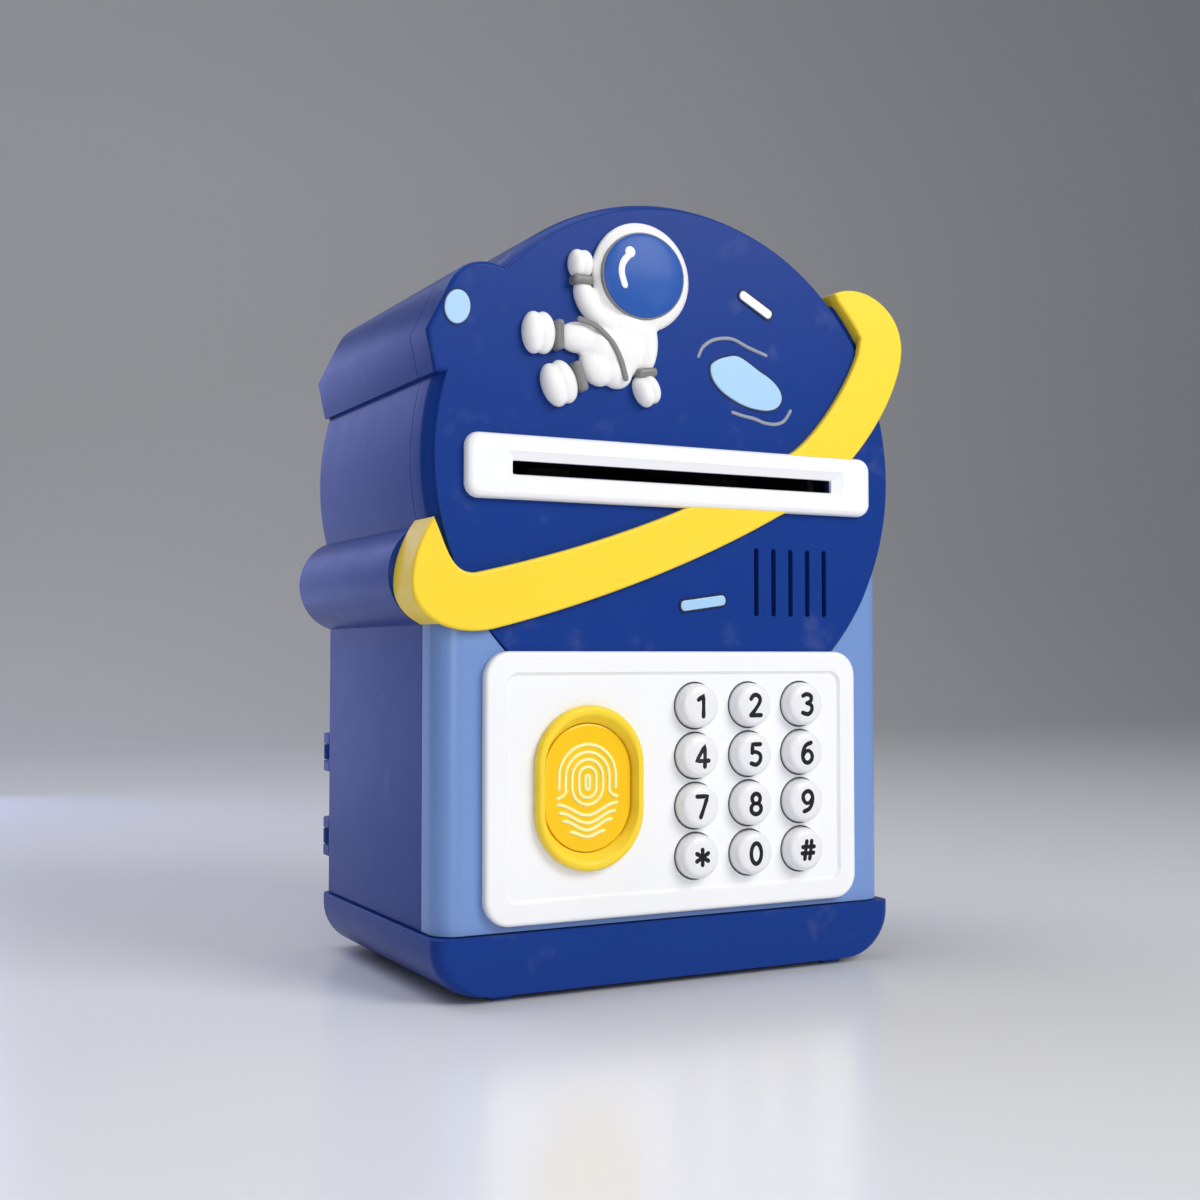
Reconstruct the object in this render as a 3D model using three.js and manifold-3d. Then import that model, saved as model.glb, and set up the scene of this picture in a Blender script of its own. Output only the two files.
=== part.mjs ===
// Toy cash-machine savings bank, in millimetres, +Z up, +X to the right of its front, front towards -Y.
// The model is laid out from the middle of the front face and then moved so that the origin is at the
// bottom centre of the whole bank.
import * as THREE from 'three';
import { mergeVertices } from 'three/addons/utils/BufferGeometryUtils.js';
import Module from 'manifold-3d';

const wasm = await Module();
wasm.setup();

// ---------------------------------------------------------------- driving dimensions

const WALL = 2.4; // moulded wall
const GAP = 0.3; // clearance between touching pieces
const SEAM_Y = 11.5; // parting line between the front and rear shells
const REAR_Y = 86; // back face
const FACE_Y = 0; // planet face
const FASCIA_Y = 0.6; // light lower front, just behind the planet face
const TRIM_FRONT_Y = -2; // front of the raised trim
const HEAD = { x: 0, z: 131, radius: 69, lowerRadius: 67.2 };
const BODY = { halfWidth: 65.7, bottomZ: 16.3, shoulderZ: 110.9, cornerRadius: 6 };
const BASE = { halfWidth: 67, frontY: -1.2, rearY: 87, bottomZ: 1.5, topZ: 16, bottomRadius: 12 };
const FOOT = { width: 6.6, depth: 8, x: 48.8, frontY: 1.5, rearY: 76 };
const BOSS = { radius: 13, left: { x: -61.5, z: 102.7 }, right: { x: 57, z: 168 } };
const ORIGIN = { x: -1.5, y: 43 }; // middle of the finished bank's box in X and Y

const BEZEL = { halfWidth: 59.8, lowZ: 120.8, highZ: 136.7, radius: 3.5, frontY: -2.6 };
const SLOT = { halfWidth: 47.4, lowZ: 126.9, highZ: 130.3 };
const PANEL = { halfWidth: 54.5, lowZ: 17.8, highZ: 84, radius: 6.5, inset: 5.5, recess: 0.7 };
const KEY = {
  radius: 5.75, frontY: -5.2, holeRadius: 5.95, flangeRadius: 6.22,
  firstX: 3.9, firstZ: 70.1, pitchX: 16.25, pitchZ: 12.77,
};
const PRINT = { x: -26.85, z: 50.35, radius: 14.75, straight: 5.6, padRadius: 11.9, padStraight: 3.8 };
const GRILLE = { x: 34.8, z: 102.25, slots: 5, pitch: 5.45, width: 1.5, height: 18 };

const DOOR = { left: -51.5, right: 49.5, low: 21.5, high: 65.5, radius: 3, thick: 2.2 };
const HINGE = { x: -62.1, y: 89.3, radius: 3.2, pinRadius: 1.1, boreRadius: 1.25, height: 10.8 };
const HINGE_LOW_Z = [25.9, 49.9];
const LATCH = { x: 43, y: 76, tipZ: 63, radius: 1.8, collarZ: 4.2, canZ: 10.5 };
const COIN_SLOT = { width: 30, depth: 3.2, y: 58 };

const UPPER_POST = { x: 40, z: 178 };
const LOWER_POST = { x: 57.5, z: 84 };
const POST = { radius: 4.4, frontY: 13.3, seatY: 20, headHole: 3.2, screwHole: 1.6 };

const BAY = { halfWidth: 31, frontY: 22, rearY: 67, roofZ: 19.4 };
const CELL = { radius: 7.1, length: 50.5, pitch: 15, z: 11.1 };

const MODULE = 0.8; // gear tooth module
const DRIVE = { y: 22, z: 122.3, rollerRadius: 6, teeth: 30, pinionTeeth: 10 };
const PINCH = { z: 132.7, rollerRadius: 4 };
const CHASSIS = { left: -50, right: 46, plate: 2 };

// ---------------------------------------------------------------- geometry helpers

const bank = new THREE.Group();

function solid(geometry) {
  geometry.deleteAttribute('normal');
  geometry.deleteAttribute('uv');
  const merged = mergeVertices(geometry, 1e-4);
  return new wasm.Manifold(new wasm.Mesh({
    numProp: 3,
    vertProperties: new Float32Array(merged.attributes.position.array),
    triVerts: new Uint32Array(merged.index.array),
  }));
}

function addPart(name, shape, [colour, roughness, metalness]) {
  const { vertProperties, triVerts } = shape.getMesh();
  const geometry = new THREE.BufferGeometry();
  geometry.setAttribute('position', new THREE.BufferAttribute(vertProperties, 3));
  geometry.setIndex(new THREE.BufferAttribute(triVerts, 1));
  geometry.computeVertexNormals();
  const material = new THREE.MeshStandardMaterial({ color: colour, roughness, metalness });
  const mesh = new THREE.Mesh(geometry, material);
  mesh.name = name;
  bank.add(mesh);
}

const union = (first, ...others) => others.reduce((sum, next) => sum.add(next), first);
const cut = (first, ...others) => others.reduce((rest, next) => rest.subtract(next), first);

// A box between two corners.
function block(x0, x1, y0, y1, z0, z1) {
  const geometry = new THREE.BoxGeometry(x1 - x0, y1 - y0, z1 - z0);
  return solid(geometry.translate((x0 + x1) / 2, (y0 + y1) / 2, (z0 + z1) / 2));
}

// Cylinders along each axis, from one end to the other.
function rodY(x, z, radius, y0, y1, sides = 24) {
  const geometry = new THREE.CylinderGeometry(radius, radius, y1 - y0, sides);
  return solid(geometry.translate(x, (y0 + y1) / 2, z));
}

function rodX(y, z, radius, x0, x1, sides = 20) {
  const geometry = new THREE.CylinderGeometry(radius, radius, x1 - x0, sides);
  return solid(geometry.rotateZ(Math.PI / 2).translate((x0 + x1) / 2, y, z));
}

function rodZ(x, y, radius, z0, z1, sides = 16) {
  const geometry = new THREE.CylinderGeometry(radius, radius, z1 - z0, sides);
  return solid(geometry.rotateX(Math.PI / 2).translate(x, y, (z0 + z1) / 2));
}

// An outline drawn in X and Z, extruded along Y.
function slabY(shape, y0, y1, curveSegments = 4) {
  const geometry = new THREE.ExtrudeGeometry(shape, { depth: y1 - y0, bevelEnabled: false, curveSegments });
  return solid(geometry.rotateX(Math.PI / 2).translate(0, y1, 0));
}

// An outline drawn in X and Y, extruded along Z.
function slabZ(shape, z0, z1, curveSegments = 4) {
  const geometry = new THREE.ExtrudeGeometry(shape, { depth: z1 - z0, bevelEnabled: false, curveSegments });
  return solid(geometry.translate(0, 0, z0));
}

// An outline drawn in Y and Z, extruded along X.
function slabX(shape, x0, x1, curveSegments = 4) {
  const geometry = new THREE.ExtrudeGeometry(shape, { depth: x1 - x0, bevelEnabled: false, curveSegments });
  const turn = new THREE.Matrix4().makeBasis(
    new THREE.Vector3(0, 1, 0), new THREE.Vector3(0, 0, 1), new THREE.Vector3(1, 0, 0));
  return solid(geometry.applyMatrix4(turn).translate(x0, 0, 0));
}

// A profile of [radius, height] pairs turned about Y, listed from low Y to high Y.
function turned(profile, sides) {
  const points = profile.map(([radius, height]) => new THREE.Vector2(radius, height));
  return new THREE.LatheGeometry(points, sides);
}

function rectangle(x0, x1, z0, z1, radius = 0) {
  const shape = new THREE.Shape();
  if (radius === 0) {
    return shape.moveTo(x0, z0).lineTo(x1, z0).lineTo(x1, z1).lineTo(x0, z1);
  }
  shape.absarc(x1 - radius, z0 + radius, radius, -Math.PI / 2, 0);
  shape.absarc(x1 - radius, z1 - radius, radius, 0, Math.PI / 2);
  shape.absarc(x0 + radius, z1 - radius, radius, Math.PI / 2, Math.PI);
  shape.absarc(x0 + radius, z0 + radius, radius, Math.PI, 1.5 * Math.PI);
  return shape;
}

// An upright oval with straight sides.
function stadium(x, z, radius, straight) {
  const shape = new THREE.Shape();
  shape.absarc(x, z + straight, radius, 0, Math.PI);
  shape.absarc(x, z - straight, radius, Math.PI, 2 * Math.PI);
  return shape;
}

function ellipsoid(x, y, z, radiusX, radiusY, radiusZ, turn = 0) {
  const geometry = new THREE.SphereGeometry(1, 12, 8).scale(radiusX, radiusY, radiusZ);
  return solid(geometry.rotateY(turn).translate(x, y, z));
}

// ---------------------------------------------------------------- finishes

const DARK_BLUE = [0x24438a, 0.28, 0];
const LIGHT_BLUE = [0x7f9cd0, 0.3, 0];
const WHITE = [0xf7f7f8, 0.3, 0];
const YELLOW = [0xf7d94f, 0.3, 0];
const DEEP_YELLOW = [0xf5c912, 0.3, 0];
const VISOR_BLUE = [0x3c62ac, 0.12, 0];
const STEEL = [0xb9bcc2, 0.32, 0.9];
const RUBBER = [0x2b2b2e, 0.8, 0];
const BLACK_PLASTIC = [0x1d1e22, 0.45, 0];
const CREAM_PLASTIC = [0xe6e2d6, 0.5, 0];
const BOARD_GREEN = [0x1d6b3c, 0.45, 0];
const SILICONE = [0xc9cdd2, 0.7, 0];
const CELL_GREEN = [0x2f6f52, 0.35, 0.3];
const BRASS = [0xb89a55, 0.35, 0.9];

// ---------------------------------------------------------------- outlines

// The ear at the upper left: rounded top, a slanted flat face, and a short facet back into the head.
function earShape(inset) {
  const shape = new THREE.Shape();
  shape.moveTo(-45, 168);
  shape.lineTo(-48, 177.8 - inset);
  shape.quadraticCurveTo(-56.5 + inset * 0.5, 181.2 - inset, -60.6 + inset, 175.2 - inset * 0.3);
  shape.lineTo(-69.3 + inset * 1.13, 160.5);
  shape.lineTo(-67.2 + inset * 1.05, 150.8 + inset * 0.4);
  shape.lineTo(-50, 149);
  return shape;
}

// The bank's whole side-to-side outline, inset for the inside of its wall, between two depths.
function bankForm(inset, y0, y1) {
  const head = rodY(HEAD.x, HEAD.z, HEAD.radius - inset, y0, y1, 60);
  const halfWidth = BODY.halfWidth - inset;
  const body = block(-halfWidth, halfWidth, y0, y1, BODY.bottomZ, HEAD.z);
  return union(head, body, slabY(earShape(inset), y0, y1));
}

function bezelOutline(grow) {
  const { halfWidth, lowZ, highZ, radius } = BEZEL;
  return rectangle(-halfWidth - grow, halfWidth + grow, lowZ - grow, highZ + grow, radius + grow);
}

// The planet's ring: a swept band from the lower left end to the tip at the upper right, where its edge
// follows the planet.
function ringShape() {
  const tipRadius = HEAD.radius + GAP;
  const tipStart = 0.565;
  const tipEnd = 0.815;
  const shape = new THREE.Shape();
  shape.moveTo(-67.8, 115.8);
  shape.bezierCurveTo(-73.3 + 2.8, 112, -73.3, 106.5, -73.3, 100);
  shape.bezierCurveTo(-73.3, 91.5, -62, 86.6, -50.8, 89.7);
  shape.bezierCurveTo(-26, 95.7, 5, 106.6, 30.3, 119.9);
  shape.bezierCurveTo(55, 130, 71.5, 156, 71.5, 168);
  shape.bezierCurveTo(71.5, 180.5, 57, 186, 48.5, HEAD.z + tipRadius * Math.sin(tipEnd));
  shape.absarc(HEAD.x, HEAD.z, tipRadius, tipEnd, tipStart, true);
  shape.lineTo(56.4, 165.6);
  shape.bezierCurveTo(53.5, 157.5, 44, 143.8, 35.5, 137.7);
  shape.bezierCurveTo(7.5, 120.7, -27.1, 109.4, -57.1, 102.8);
  shape.bezierCurveTo(-63.5, 102.2, -64.5, 109, -67.8, 115.8);
  return shape;
}

// ---------------------------------------------------------------- housing

function rearShell() {
  const outer = union(
    bankForm(0, SEAM_Y, REAR_Y),
    rodY(BOSS.left.x, BOSS.left.z, BOSS.radius, SEAM_Y, REAR_Y - 0.5, 40),
    rodY(BOSS.right.x, BOSS.right.z, BOSS.radius, SEAM_Y, REAR_Y - 0.5, 40));
  const inner = union(
    bankForm(WALL, SEAM_Y - 1, REAR_Y - WALL),
    rodY(BOSS.left.x, BOSS.left.z, BOSS.radius - WALL, SEAM_Y - 1, REAR_Y - WALL, 32),
    rodY(BOSS.right.x, BOSS.right.z, BOSS.radius - WALL, SEAM_Y - 1, REAR_Y - WALL, 32));
  let shell = cut(outer, inner);

  // Door opening with a stop frame behind its edge.
  const edge = 0.5;
  const frame = slabY(rectangle(DOOR.left - 4, DOOR.right + 4, DOOR.low - 3.5, DOOR.high + 3.5, 3),
    REAR_Y - 5, REAR_Y - 1);
  const sill = slabY(rectangle(DOOR.left + 2.5, DOOR.right - 2.5, DOOR.low + 2.5, DOOR.high - 2.5, 2),
    REAR_Y - 6, REAR_Y + 1);
  const opening = slabY(
    rectangle(DOOR.left - edge, DOOR.right + edge, DOOR.low - edge, DOOR.high + edge, DOOR.radius),
    REAR_Y - DOOR.thick - GAP, REAR_Y + 1);
  shell = cut(union(shell, frame), sill, opening);

  // Posts that run forward to the front shell, each with a deep screw hole from the back.
  for (const [x, z] of postPlaces()) {
    const post = rodY(x, z, POST.radius, POST.frontY, REAR_Y - 1);
    const headHole = rodY(x, z, POST.headHole, POST.seatY, REAR_Y + 1, 16);
    const screwHole = rodY(x, z, POST.screwHole, POST.frontY - 1, POST.seatY + 1, 12);
    shell = cut(union(shell, post), headHole, screwHole);
  }

  // Hinge ears in pairs, with a bore for each pin.
  for (const z of HINGE_LOW_Z) {
    for (const [low, high] of [[z, z + 3], [z + HINGE.height - 3, z + HINGE.height]]) {
      const barrel = rodZ(HINGE.x, HINGE.y, HINGE.radius, low, high);
      const web = block(HINGE.x - HINGE.radius, HINGE.x + HINGE.radius, REAR_Y - 1, HINGE.y, low, high);
      const bore = rodZ(HINGE.x, HINGE.y, HINGE.boreRadius, low - 1, high + 1);
      shell = union(shell, cut(union(barrel, web), bore));
    }
  }

  // Coin slot through the top of the head.
  const half = COIN_SLOT.width / 2;
  const slot = block(-half, half, COIN_SLOT.y - COIN_SLOT.depth / 2, COIN_SLOT.y + COIN_SLOT.depth / 2,
    HEAD.z + HEAD.radius - 8, HEAD.z + HEAD.radius + 1);
  return cut(shell, slot);
}

function postPlaces() {
  return [
    [-UPPER_POST.x, UPPER_POST.z], [UPPER_POST.x, UPPER_POST.z],
    [-LOWER_POST.x, LOWER_POST.z], [LOWER_POST.x, LOWER_POST.z],
  ];
}

// The short boss that a case screw bites into.
function screwBoss(x, z) {
  const boss = rodY(x, z, 3.6, FASCIA_Y + 1, POST.frontY - GAP, 16);
  return { boss, pilot: rodY(x, z, 1.45, 5, POST.frontY + 1, 12) };
}

function frontShell() {
  const rim = cut(bankForm(0, FACE_Y, SEAM_Y - GAP), bankForm(WALL, FACE_Y + WALL, SEAM_Y));
  const upperRim = rim.intersect(block(-90, 90, -5, 20, BODY.shoulderZ, 210));
  const lowerFace = rodY(HEAD.x, HEAD.z, HEAD.lowerRadius, FACE_Y, FACE_Y + WALL, 60)
    .intersect(block(-90, 90, -5, 20, PANEL.highZ - 3.5, BODY.shoulderZ + 5));
  let shell = union(upperRim, lowerFace);
  for (const side of [-1, 1]) {
    const { boss, pilot } = screwBoss(side * UPPER_POST.x, UPPER_POST.z);
    shell = cut(union(shell, boss), pilot);
  }
  const noteSlot = block(-SLOT.halfWidth - 1, SLOT.halfWidth + 1, -1, 4, SLOT.lowZ - 0.6, SLOT.highZ + 0.6);
  shell = cut(shell, noteSlot);
  for (let i = 0; i < GRILLE.slots; i += 1) {
    const x = GRILLE.x + (i - (GRILLE.slots - 1) / 2) * GRILLE.pitch;
    const half = GRILLE.width / 2;
    shell = cut(shell, slabY(rectangle(x - half, x + half, GRILLE.z - GRILLE.height / 2,
      GRILLE.z + GRILLE.height / 2, half * 0.98), -1, 4, 1));
  }
  return shell;
}

// The light lower front: a frame round the keypad whose sides wrap back to the seam.
function lowerFascia() {
  const wrap = (inset, y0, z0, z1) => {
    const half = BODY.halfWidth - inset;
    return slabZ(rectangle(-half, half, y0, y0 + 30, BODY.cornerRadius - inset), z0, z1, 3);
  };
  const top = BODY.shoulderZ - GAP;
  const outer = wrap(0, FASCIA_Y, BODY.bottomZ, top);
  const inner = wrap(WALL, FASCIA_Y + WALL, BODY.bottomZ - 1, top + 1);
  let fascia = cut(outer, inner).intersect(block(-90, 90, -5, SEAM_Y - GAP, 0, 120));
  const planet = rodY(HEAD.x, HEAD.z, HEAD.lowerRadius + GAP, -1, FACE_Y + WALL + 0.8, 60);
  const window = slabY(rectangle(-46, 48, 24, 90, 3), -1, FASCIA_Y + WALL + 1);
  fascia = cut(fascia, planet, window);
  for (const side of [-1, 1]) {
    const { boss, pilot } = screwBoss(side * LOWER_POST.x, LOWER_POST.z);
    fascia = cut(union(fascia, boss), pilot);
  }
  return fascia;
}

// The base: a shallow tray with rounded bottom edges, four feet, and the battery bay standing in it.
function baseTray() {
  const form = (inset, z0, z1) => {
    const half = BASE.halfWidth - inset;
    const radius = BASE.bottomRadius - inset;
    const end = new THREE.Shape();
    end.moveTo(-half, z1);
    end.lineTo(-half, z0 + radius);
    end.absarc(-half + radius, z0 + radius, radius, Math.PI, 1.5 * Math.PI);
    end.absarc(half - radius, z0 + radius, radius, 1.5 * Math.PI, 2 * Math.PI);
    end.lineTo(half, z1);
    const plan = rectangle(-half, half, BASE.frontY + inset, BASE.rearY - inset, 4 - inset);
    return slabY(end, BASE.frontY + inset, BASE.rearY - inset).intersect(slabZ(plan, z0, z1, 2));
  };
  const floorTop = BASE.bottomZ + 2.5;
  let tray = cut(form(0, BASE.bottomZ, BASE.topZ), form(WALL, floorTop, BASE.topZ + 1));
  for (const x of [-FOOT.x, FOOT.x]) {
    for (const y of [FOOT.frontY, FOOT.rearY]) {
      const foot = block(x - FOOT.width / 2, x + FOOT.width / 2, y, y + FOOT.depth, 0, BASE.bottomZ + 1);
      tray = union(tray, foot);
    }
  }
  const bayBox = block(-BAY.halfWidth - 1.8, BAY.halfWidth + 1.8, BAY.frontY - 1.8, BAY.rearY + 1.8,
    BASE.bottomZ + 1, BAY.roofZ + 1.6);
  const bay = block(-BAY.halfWidth, BAY.halfWidth, BAY.frontY, BAY.rearY, -1, BAY.roofZ);
  const screwPillar = rodZ(0, BAY.rearY + 5.5, 4, BASE.bottomZ + 1, 12);
  const tabPocket = block(-5.3, 5.3, BAY.rearY - 1, BAY.rearY + 10.3, -1, BASE.bottomZ + 2.1);
  const pilot = rodZ(0, BAY.rearY + 5.5, 1.3, 1, 11, 12);
  tray = cut(union(tray, bayBox, screwPillar), bay, tabPocket, pilot);
  for (const side of [-1, 1]) {
    tray = cut(tray, rodZ(side * 57, 72, 1.7, -1, 8, 12));
  }
  return tray;
}

function ringTrim() {
  const outline = ringShape();
  const plate = slabY(outline, TRIM_FRONT_Y, FACE_Y - GAP, 5);
  const deep = cut(
    slabY(outline, TRIM_FRONT_Y, SEAM_Y - GAP, 5),
    rodY(HEAD.x, HEAD.z, HEAD.radius + GAP, -5, 20, 60),
    block(-BODY.halfWidth - GAP, BODY.halfWidth + GAP, -5, 20, 0, HEAD.z));
  const underBezel = slabY(bezelOutline(GAP), -5, FACE_Y - GAP - 0.7);
  return cut(union(cut(union(plate, deep), underBezel), ringBridge(0)), slotOpening(GAP));
}

// A thin web hidden behind the bezel: it joins the ring's two arms around the end of the slot.
function ringBridge(grow) {
  return block(24 - grow, 57 + grow, FACE_Y - GAP - 0.7 - grow, FACE_Y - GAP,
    BEZEL.lowZ + 1.6 - grow, BEZEL.highZ - 1.6 + grow);
}

function slotOpening(grow) {
  return block(-SLOT.halfWidth - grow, SLOT.halfWidth + grow, -5, 2, SLOT.lowZ - grow, SLOT.highZ + grow);
}

function noteBezel() {
  const plate = slabY(bezelOutline(0), BEZEL.frontY, FACE_Y - GAP);
  const ringRelief = slabY(ringShape(), -GAP - 1, FACE_Y + 1, 5);
  const mouth = rectangle(-SLOT.halfWidth - 1.7, SLOT.halfWidth + 1.7, SLOT.lowZ - 1, SLOT.highZ + 2, 1);
  const throat = slabY(mouth, BEZEL.frontY - 1, BEZEL.frontY + 0.9);
  return cut(plate, ringRelief, ringBridge(GAP), throat, slotOpening(0));
}

// ---------------------------------------------------------------- keypad

const KEY_NAMES = [
  ['key_1', 'key_2', 'key_3'],
  ['key_4', 'key_5', 'key_6'],
  ['key_7', 'key_8', 'key_9'],
  ['key_star', 'key_0', 'key_hash'],
];

function keyPlaces() {
  return KEY_NAMES.flatMap((names, row) => names.map((name, column) => ({
    name,
    x: KEY.firstX + column * KEY.pitchX,
    z: KEY.firstZ - row * KEY.pitchZ,
  })));
}

function keypadPanel() {
  const { halfWidth, lowZ, highZ, radius, inset, recess } = PANEL;
  const plate = slabY(rectangle(-halfWidth, halfWidth, lowZ, highZ, radius), TRIM_FRONT_Y, FASCIA_Y - GAP);
  const field = slabY(rectangle(-halfWidth + inset, halfWidth - inset, lowZ + inset, highZ - inset, 3),
    TRIM_FRONT_Y - 1, TRIM_FRONT_Y + recess);
  const planet = rodY(HEAD.x, HEAD.z, HEAD.lowerRadius + GAP, FACE_Y - GAP, 2, 60);
  let panel = cut(plate, field, planet);
  for (const { x, z } of keyPlaces()) {
    panel = cut(panel, rodY(x, z, KEY.holeRadius, -5, 2, 20));
  }
  return cut(panel, slabY(stadium(PRINT.x, PRINT.z, PRINT.radius - 1.2, PRINT.straight), -5, 2, 8));
}

// A domed round key with a retaining flange and a stem.
function keyCap(x, z) {
  const dome = [[0, KEY.frontY], [4.6, KEY.frontY + 0.3], [KEY.radius, KEY.frontY + 1.6]];
  const flange = [[KEY.radius, 0.7], [KEY.flangeRadius, 0.7], [KEY.flangeRadius, 1.6]];
  const profile = [...dome, ...flange, [2.2, 3.2], [0, 3.2]];
  return solid(turned(profile, 16).translate(x, 0, z));
}

function fingerprintBezel() {
  const rimBackY = TRIM_FRONT_Y + PANEL.recess - GAP;
  const rim = slabY(stadium(PRINT.x, PRINT.z, PRINT.radius, PRINT.straight), -4, rimBackY, 8);
  const collar = slabY(stadium(PRINT.x, PRINT.z, PRINT.radius - 1.5, PRINT.straight), -2, 2.6, 8);
  const hole = slabY(stadium(PRINT.x, PRINT.z, PRINT.padRadius + 0.4, PRINT.padStraight), -6, 4, 8);
  return cut(union(rim, collar), hole);
}

function fingerprintPad() {
  const face = slabY(stadium(PRINT.x, PRINT.z, PRINT.padRadius, PRINT.padStraight), -2.6, 2.9, 8);
  const flange = slabY(stadium(PRINT.x, PRINT.z, PRINT.padRadius + 1.2, PRINT.padStraight), 2.9, 3.6, 8);
  return union(face, flange);
}

function keyMembrane() {
  let sheet = slabY(rectangle(-4, 44.5, 24.5, 77.5, 3), 5.2, 6);
  for (const { x, z } of keyPlaces()) {
    sheet = union(sheet, rodY(x, z, 3, 4.7, 5.4, 10));
  }
  return sheet;
}

function controlBoard() {
  const board = slabY(rectangle(-50, 50, 21, 79, 2), 6.4, 8);
  const processor = block(8, 22, 7.5, 10, 50, 64);
  const regulator = block(-34, -26, 7.5, 11, 30, 38);
  const socket = block(-8, 2, 7.5, 13, 24, 30);
  return union(board, processor, regulator, socket);
}

function speaker() {
  const profile = [[0, 2.9], [12, 2.9], [12, 5], [7, 8.2], [7, 11], [0, 11]];
  return solid(turned(profile, 28).translate(GRILLE.x, 0, GRILLE.z));
}

// ---------------------------------------------------------------- relief figure

// A floating astronaut: limbs, torso and helmet as rounded forms with a flat back.
function astronautFigure() {
  const forms = [
    [-11.6, 0, 179, 14.2, 6.5, 14.2, 0], // helmet
    [-17.5, 0, 160.5, 9, 4.6, 7.2, -0.9], // torso
    [-24.5, 0, 158.8, 6.5, 4.2, 6.8, 0.3], // hips
    [-30.4, 0, 161.9, 6.6, 3.9, 4.4, 0], // thigh
    [-41, 0, 162.2, 4.9, 4.4, 5.7, 0.1], // boot
    [-27, 0, 153.4, 5.4, 3.8, 4.5, -0.4], // shin
    [-34.7, 0, 150.2, 5, 4.4, 6, -0.5], // second boot
    [-25.6, 0, 170.6, 3.5, 3.6, 6.2, -0.5], // raised arm
    [-29, 0, 180.6, 3.5, 3.6, 3.9, 0], // raised glove
    [-10.6, 0, 159.5, 3.7, 3.6, 6.8, -0.2], // lowered arm
    [-10.3, 0, 150.1, 4.3, 3.7, 4, 0], // lowered glove
  ];
  const cuffs = [
    [-35.6, 162.1, 1.2, 4.2, 0],
    [-29.2, 152.4, 1.2, 4.2, -0.35],
    [-28.9, 176.1, 3.3, 1.4, -0.2],
    [-10.7, 154.8, 3.2, 1.3, 0],
  ];
  let figure = union(...forms.map((form) => ellipsoid(...form)));
  for (const [x, z, halfX, halfZ, turn] of cuffs) {
    const ring = new THREE.BoxGeometry(halfX * 2, 6.4, halfZ * 2).rotateY(turn);
    figure = union(figure, solid(ring.translate(x, 0, z)));
  }
  const front = block(-60, 20, -20, FACE_Y - GAP, 130, 210);
  const visorSeat = ellipsoid(-12.3, -3.6, 178.6, 12, 3.5, 11.3);
  return cut(figure.intersect(front), visorSeat);
}

function astronautVisor() {
  return ellipsoid(-12.3, -3.7, 178.6, 11.5, 2.8, 10.8);
}

// ---------------------------------------------------------------- rear door, hinge and latch

function rearDoor() {
  const panel = slabY(rectangle(DOOR.left, DOOR.right, DOOR.low, DOOR.high, DOOR.radius),
    REAR_Y - DOOR.thick, REAR_Y);
  const pull = slabY(rectangle(DOOR.right - 7, DOOR.right - 3, 34, 53, 1.9), REAR_Y - 1, REAR_Y + 2.6, 2);
  const tongue = block(LATCH.x - 4, LATCH.x + 3.5, LATCH.y - 3.8, REAR_Y - 1,
    LATCH.tipZ - 4.5, LATCH.tipZ - 1.5);
  const room = LATCH.radius + 0.5;
  const keeper = block(LATCH.x - room, LATCH.x + 4, LATCH.y - room, LATCH.y + room,
    LATCH.tipZ - 6, LATCH.tipZ);
  let door = cut(union(panel, pull, tongue), keeper);
  for (const z of HINGE_LOW_Z) {
    const low = z + 3 + GAP;
    const high = z + HINGE.height - 3 - GAP;
    const barrel = rodZ(HINGE.x, HINGE.y, HINGE.radius, low, high);
    const strap = block(HINGE.x, DOOR.left + 12, REAR_Y + 0.5, REAR_Y + 3, low, high);
    const root = block(DOOR.left + 1, DOOR.left + 12, REAR_Y - 1, REAR_Y + 3, low, high);
    const bore = rodZ(HINGE.x, HINGE.y, HINGE.boreRadius, low - 1, high + 1);
    door = union(door, cut(union(barrel, strap, root), bore));
  }
  return door;
}

function latchSolenoid() {
  const canZ = LATCH.tipZ + LATCH.canZ;
  const can = block(LATCH.x - 5.5, LATCH.x + 5.5, LATCH.y - 5.2, LATCH.y + 4.8, canZ, LATCH.tipZ + 26);
  return cut(can, rodZ(LATCH.x, LATCH.y, LATCH.radius + 0.4, canZ - 1, LATCH.tipZ + 22));
}

function latchPlunger() {
  const rod = rodZ(LATCH.x, LATCH.y, LATCH.radius, LATCH.tipZ, LATCH.tipZ + 19);
  const collarZ = LATCH.tipZ + LATCH.collarZ;
  return union(rod, rodZ(LATCH.x, LATCH.y, 3.4, collarZ, collarZ + 1.2));
}

// A helix of round wire between the plunger's collar and the solenoid.
class Helix extends THREE.Curve {
  constructor(radius, low, high, turns) {
    super();
    Object.assign(this, { radius, low, high, turns });
  }

  getPoint(t, target = new THREE.Vector3()) {
    const angle = 2 * Math.PI * this.turns * t;
    return target.set(this.radius * Math.cos(angle), this.radius * Math.sin(angle),
      this.low + (this.high - this.low) * t);
  }
}

function latchSpring() {
  const wire = new THREE.Shape().absarc(0, 0, 0.28, 0, 2 * Math.PI);
  const path = new Helix(2.7, LATCH.tipZ + LATCH.collarZ + 1.8, LATCH.tipZ + LATCH.canZ - 0.6, 3.5);
  const geometry = new THREE.ExtrudeGeometry(wire, { steps: 40, extrudePath: path, curveSegments: 3 });
  return solid(geometry.translate(LATCH.x, LATCH.y, 0));
}

// ---------------------------------------------------------------- note feed

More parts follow.
